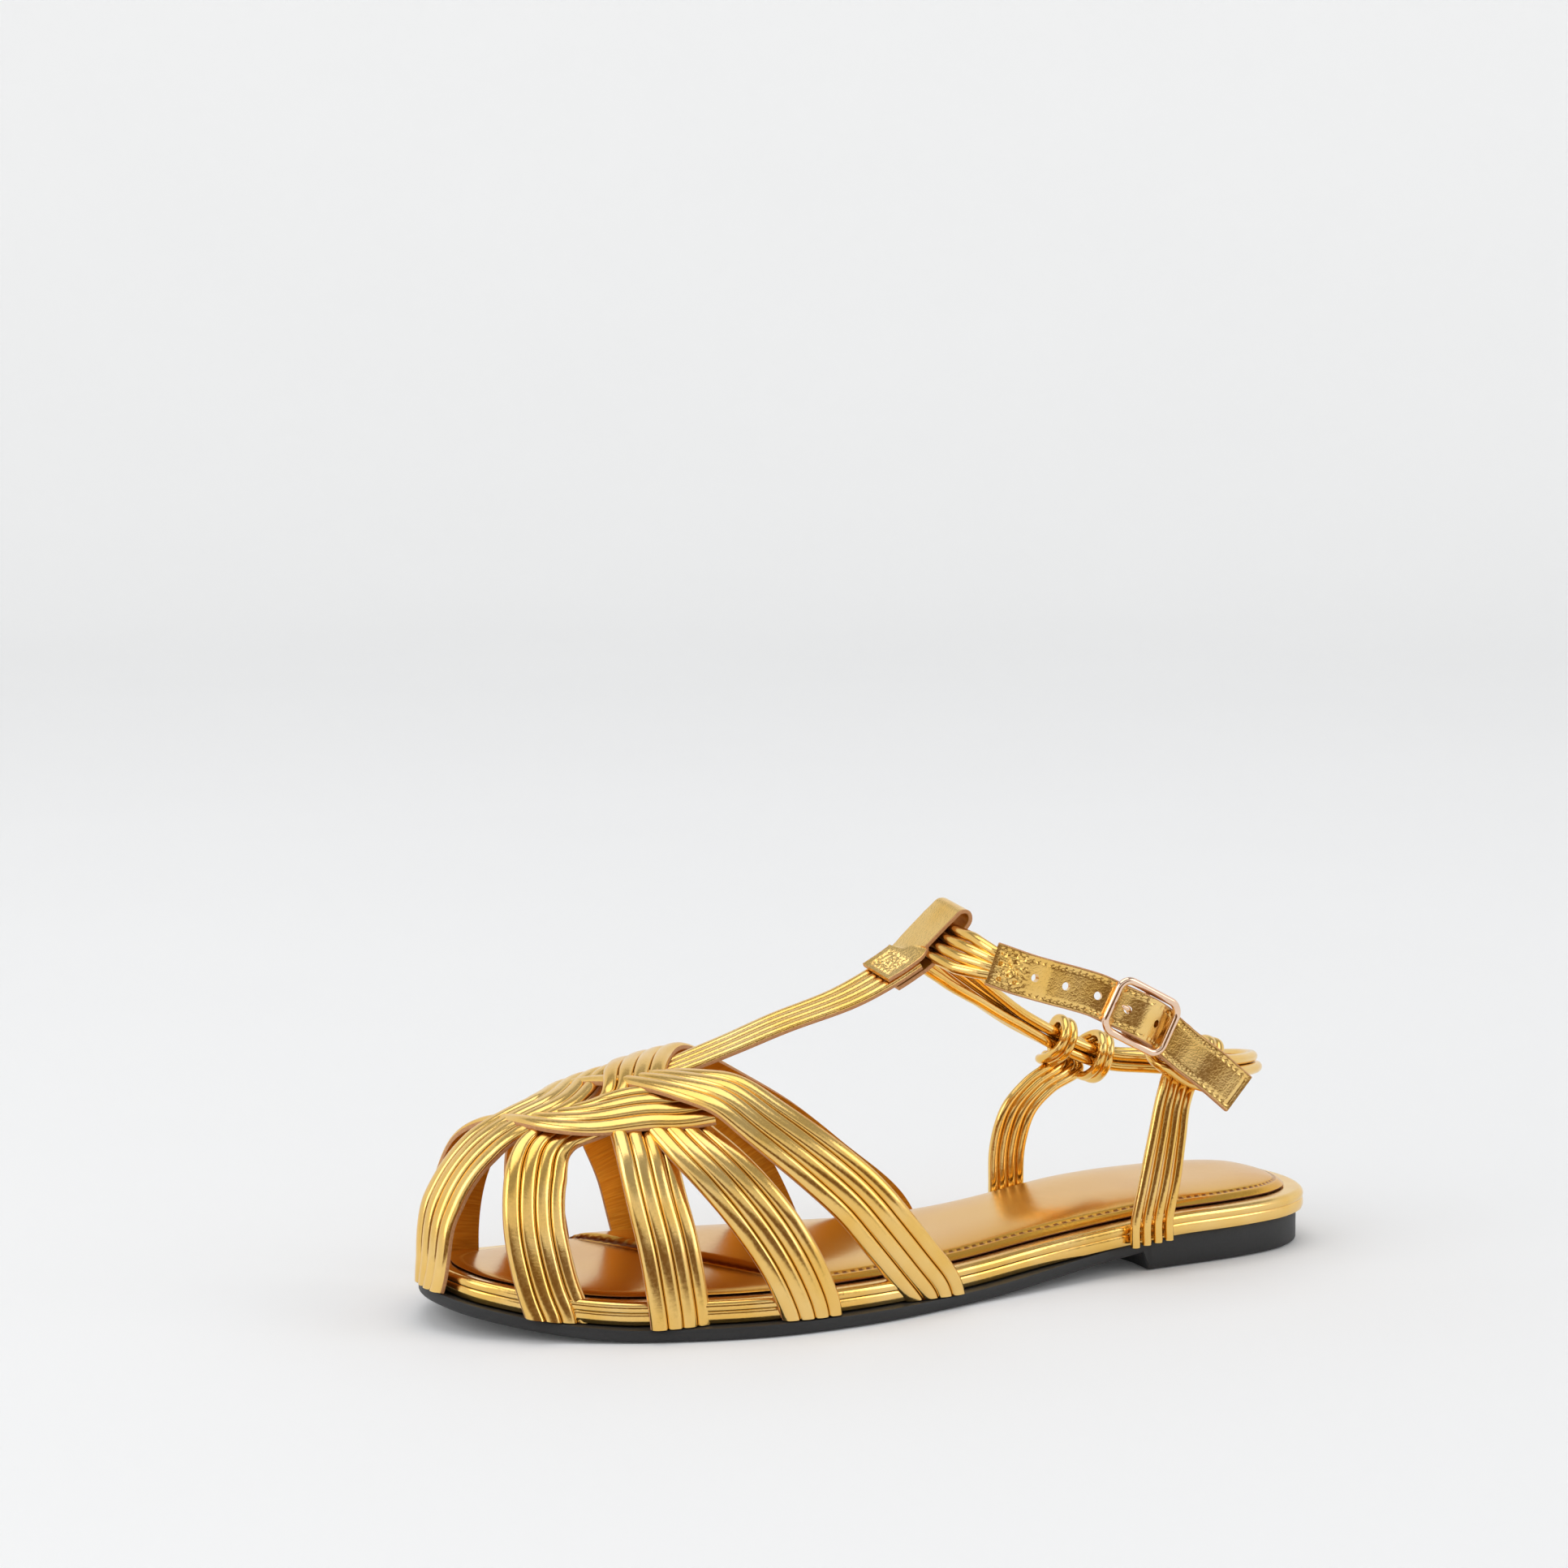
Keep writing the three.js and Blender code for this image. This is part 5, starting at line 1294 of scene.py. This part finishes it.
# %% Floor, screen and lamps
def stage_piece(name, points, quads, material):
    mesh = bpy.data.meshes.new(name)
    mesh.from_pydata(points.tolist(), [], quads.tolist())
    mesh.polygons.foreach_set("use_smooth", np.ones(len(quads), bool))
    mesh.materials.append(material)
    piece = bpy.data.objects.new(name, mesh)
    bpy.context.scene.collection.objects.link(piece)
    return piece


# The floor also glows, faintly near the shoe and more towards its rising rim: painted light that brightens
# the far floor and wall so that the backdrop comes out even.
floor_finish = Finish("pale_floor", Roughness=0.9, Specular_IOR_Level=0.1, Emission_Strength=1.0)
far_out = floor_finish.node("ShaderNodeTexGradient", {"gradient_type": "SPHERICAL"},
                            {"Vector": floor_finish.place((0.22, 0.22, 0.1))})
glow = floor_finish.blend(far_out, (0.25, 0.25, 0.247, 1), (0.02, 0.02, 0.02, 1))
floor_finish.feed("Emission Color", glow)
floor_finish.feed("Base Color", floor_finish.blend(floor_finish.noise(floor_finish.place(), 3.0),
                                                   tone(0.93, 0.93, 0.93), tone(0.94, 0.94, 0.94)))
bend_at = np.radians(np.linspace(0, 90, 13))
reach = np.concatenate([[0.02, 0.6, 1.4, 2.4], 3.0 + 1.4 * np.sin(bend_at), [4.4]])
height = np.concatenate([[0, 0, 0, 0], 1.4 - 1.4 * np.cos(bend_at), [4.0]])
spin = np.arange(96) / 96 * 2 * np.pi
dish = np.stack([reach[:, None] * np.cos(spin), reach[:, None] * np.sin(spin),
                 np.broadcast_to(height[:, None] - 0.0002, (len(reach), 96))], -1).reshape(-1, 3)
i, j = np.meshgrid(np.arange(len(reach) - 1), np.arange(96), indexing="ij")
dish_quads = np.stack([i * 96 + j, i * 96 + (j + 1) % 96, (i + 1) * 96 + (j + 1) % 96, (i + 1) * 96 + j], -1)
centre = len(dish)
dish = np.vstack([dish, [[0, 0, -0.0002]]])
k = np.arange(0, 96, 2)
fan = np.stack([np.full(48, centre), (k + 2) % 96, k + 1, k], 1)[:, ::-1]
stage_piece("studio_floor", dish, np.vstack([dish_quads.reshape(-1, 4), fan]), floor_finish.material)

screen_finish = Finish("dark_screen", Roughness=1.0, Base_Color=tone(0.45, 0.33, 0.20))
screen_at = np.radians(np.linspace(30, 120, 17))
screen = np.stack([np.stack([2.4 * np.cos(screen_at), 2.4 * np.sin(screen_at), 0 * screen_at + z], 1)
                   for z in (0.08, 1.05)]).reshape(-1, 3)
q = np.arange(16)
dark = stage_piece("dark_screen", screen, np.stack([q, q + 1, q + 18, q + 17], 1), screen_finish.material)
dark.visible_camera = False
dark.visible_diffuse = False
dark.visible_shadow = False


def lamp(name, place, target, width, height, power, colour=(1, 1, 1)):
    """A soft box: a rectangle that shines towards its target."""
    data = bpy.data.lights.new(name, "AREA")
    data.shape, data.size, data.size_y, data.energy, data.color = "RECTANGLE", width, height, power, colour
    made = bpy.data.objects.new(name, data)
    way = unit(np.array(target, float) - np.array(place, float))
    side = unit(np.cross(way, [0, 0, 1.0001]))
    up = np.cross(side, way)
    rows = np.eye(4)
    rows[:3, :3] = np.stack([side, up, -way], 1)
    rows[:3, 3] = place
    made.matrix_world = Matrix(rows.tolist())
    bpy.context.scene.collection.objects.link(made)
    return made


lamp("top_box", (0.1, -0.2, 2.6), (0.1, 0, 0), 2.2, 2.2, 20.5)
lamp("left_box", (2.0, 0.2, 1.5), (0.1, 0, 0.05), 1.2, 1.6, 12)
lamp("right_box", (-1.6, 1.4, 1.3), (0.1, 0, 0.05), 0.8, 1.4, 7)
world = bpy.data.worlds.new("studio_air")
world.use_nodes = True
world.node_tree.nodes["Background"].inputs["Color"].default_value = (0.95, 0.97, 1.0, 1)
world.node_tree.nodes["Background"].inputs["Strength"].default_value = 0.42
bpy.context.scene.world = world
bpy.context.scene.view_settings.view_transform = "Standard"
bpy.context.scene.view_settings.look = "None"

# %% [markdown]
# The camera stands where the photograph was taken from, in front of the outer side of the toes and a
# little above them. Its place was found by fitting the outline of the sole.

# %% Camera
FOCAL_PIXELS, IMAGE = 4553.76, 1932
azimuth, elevation, tilt = np.radians([154.313, 5.914, -0.240])
away = np.array([np.sin(azimuth) * np.cos(elevation), -np.cos(azimuth) * np.cos(elevation),
                 np.sin(elevation)])
right = unit(np.cross(-away, [0, 0, 1]))
up = np.cross(right, -away)
right, up = right * np.cos(tilt) + up * np.sin(tilt), -right * np.sin(tilt) + up * np.cos(tilt)
data = bpy.data.cameras.new("camera")
data.sensor_width = 36.0
data.lens = FOCAL_PIXELS * 36.0 / IMAGE
data.clip_end = 50
camera = bpy.data.objects.new("camera", data)
rows = np.eye(4)
rows[:3, :3] = np.stack([right, up, away], 1)
rows[:3, 3] = [0.53796, 0.85811, 0.23086]
camera.matrix_world = Matrix(rows.tolist())
bpy.context.scene.collection.objects.link(camera)
bpy.context.scene.camera = camera
print("lens:", round(data.lens, 2), "mm")
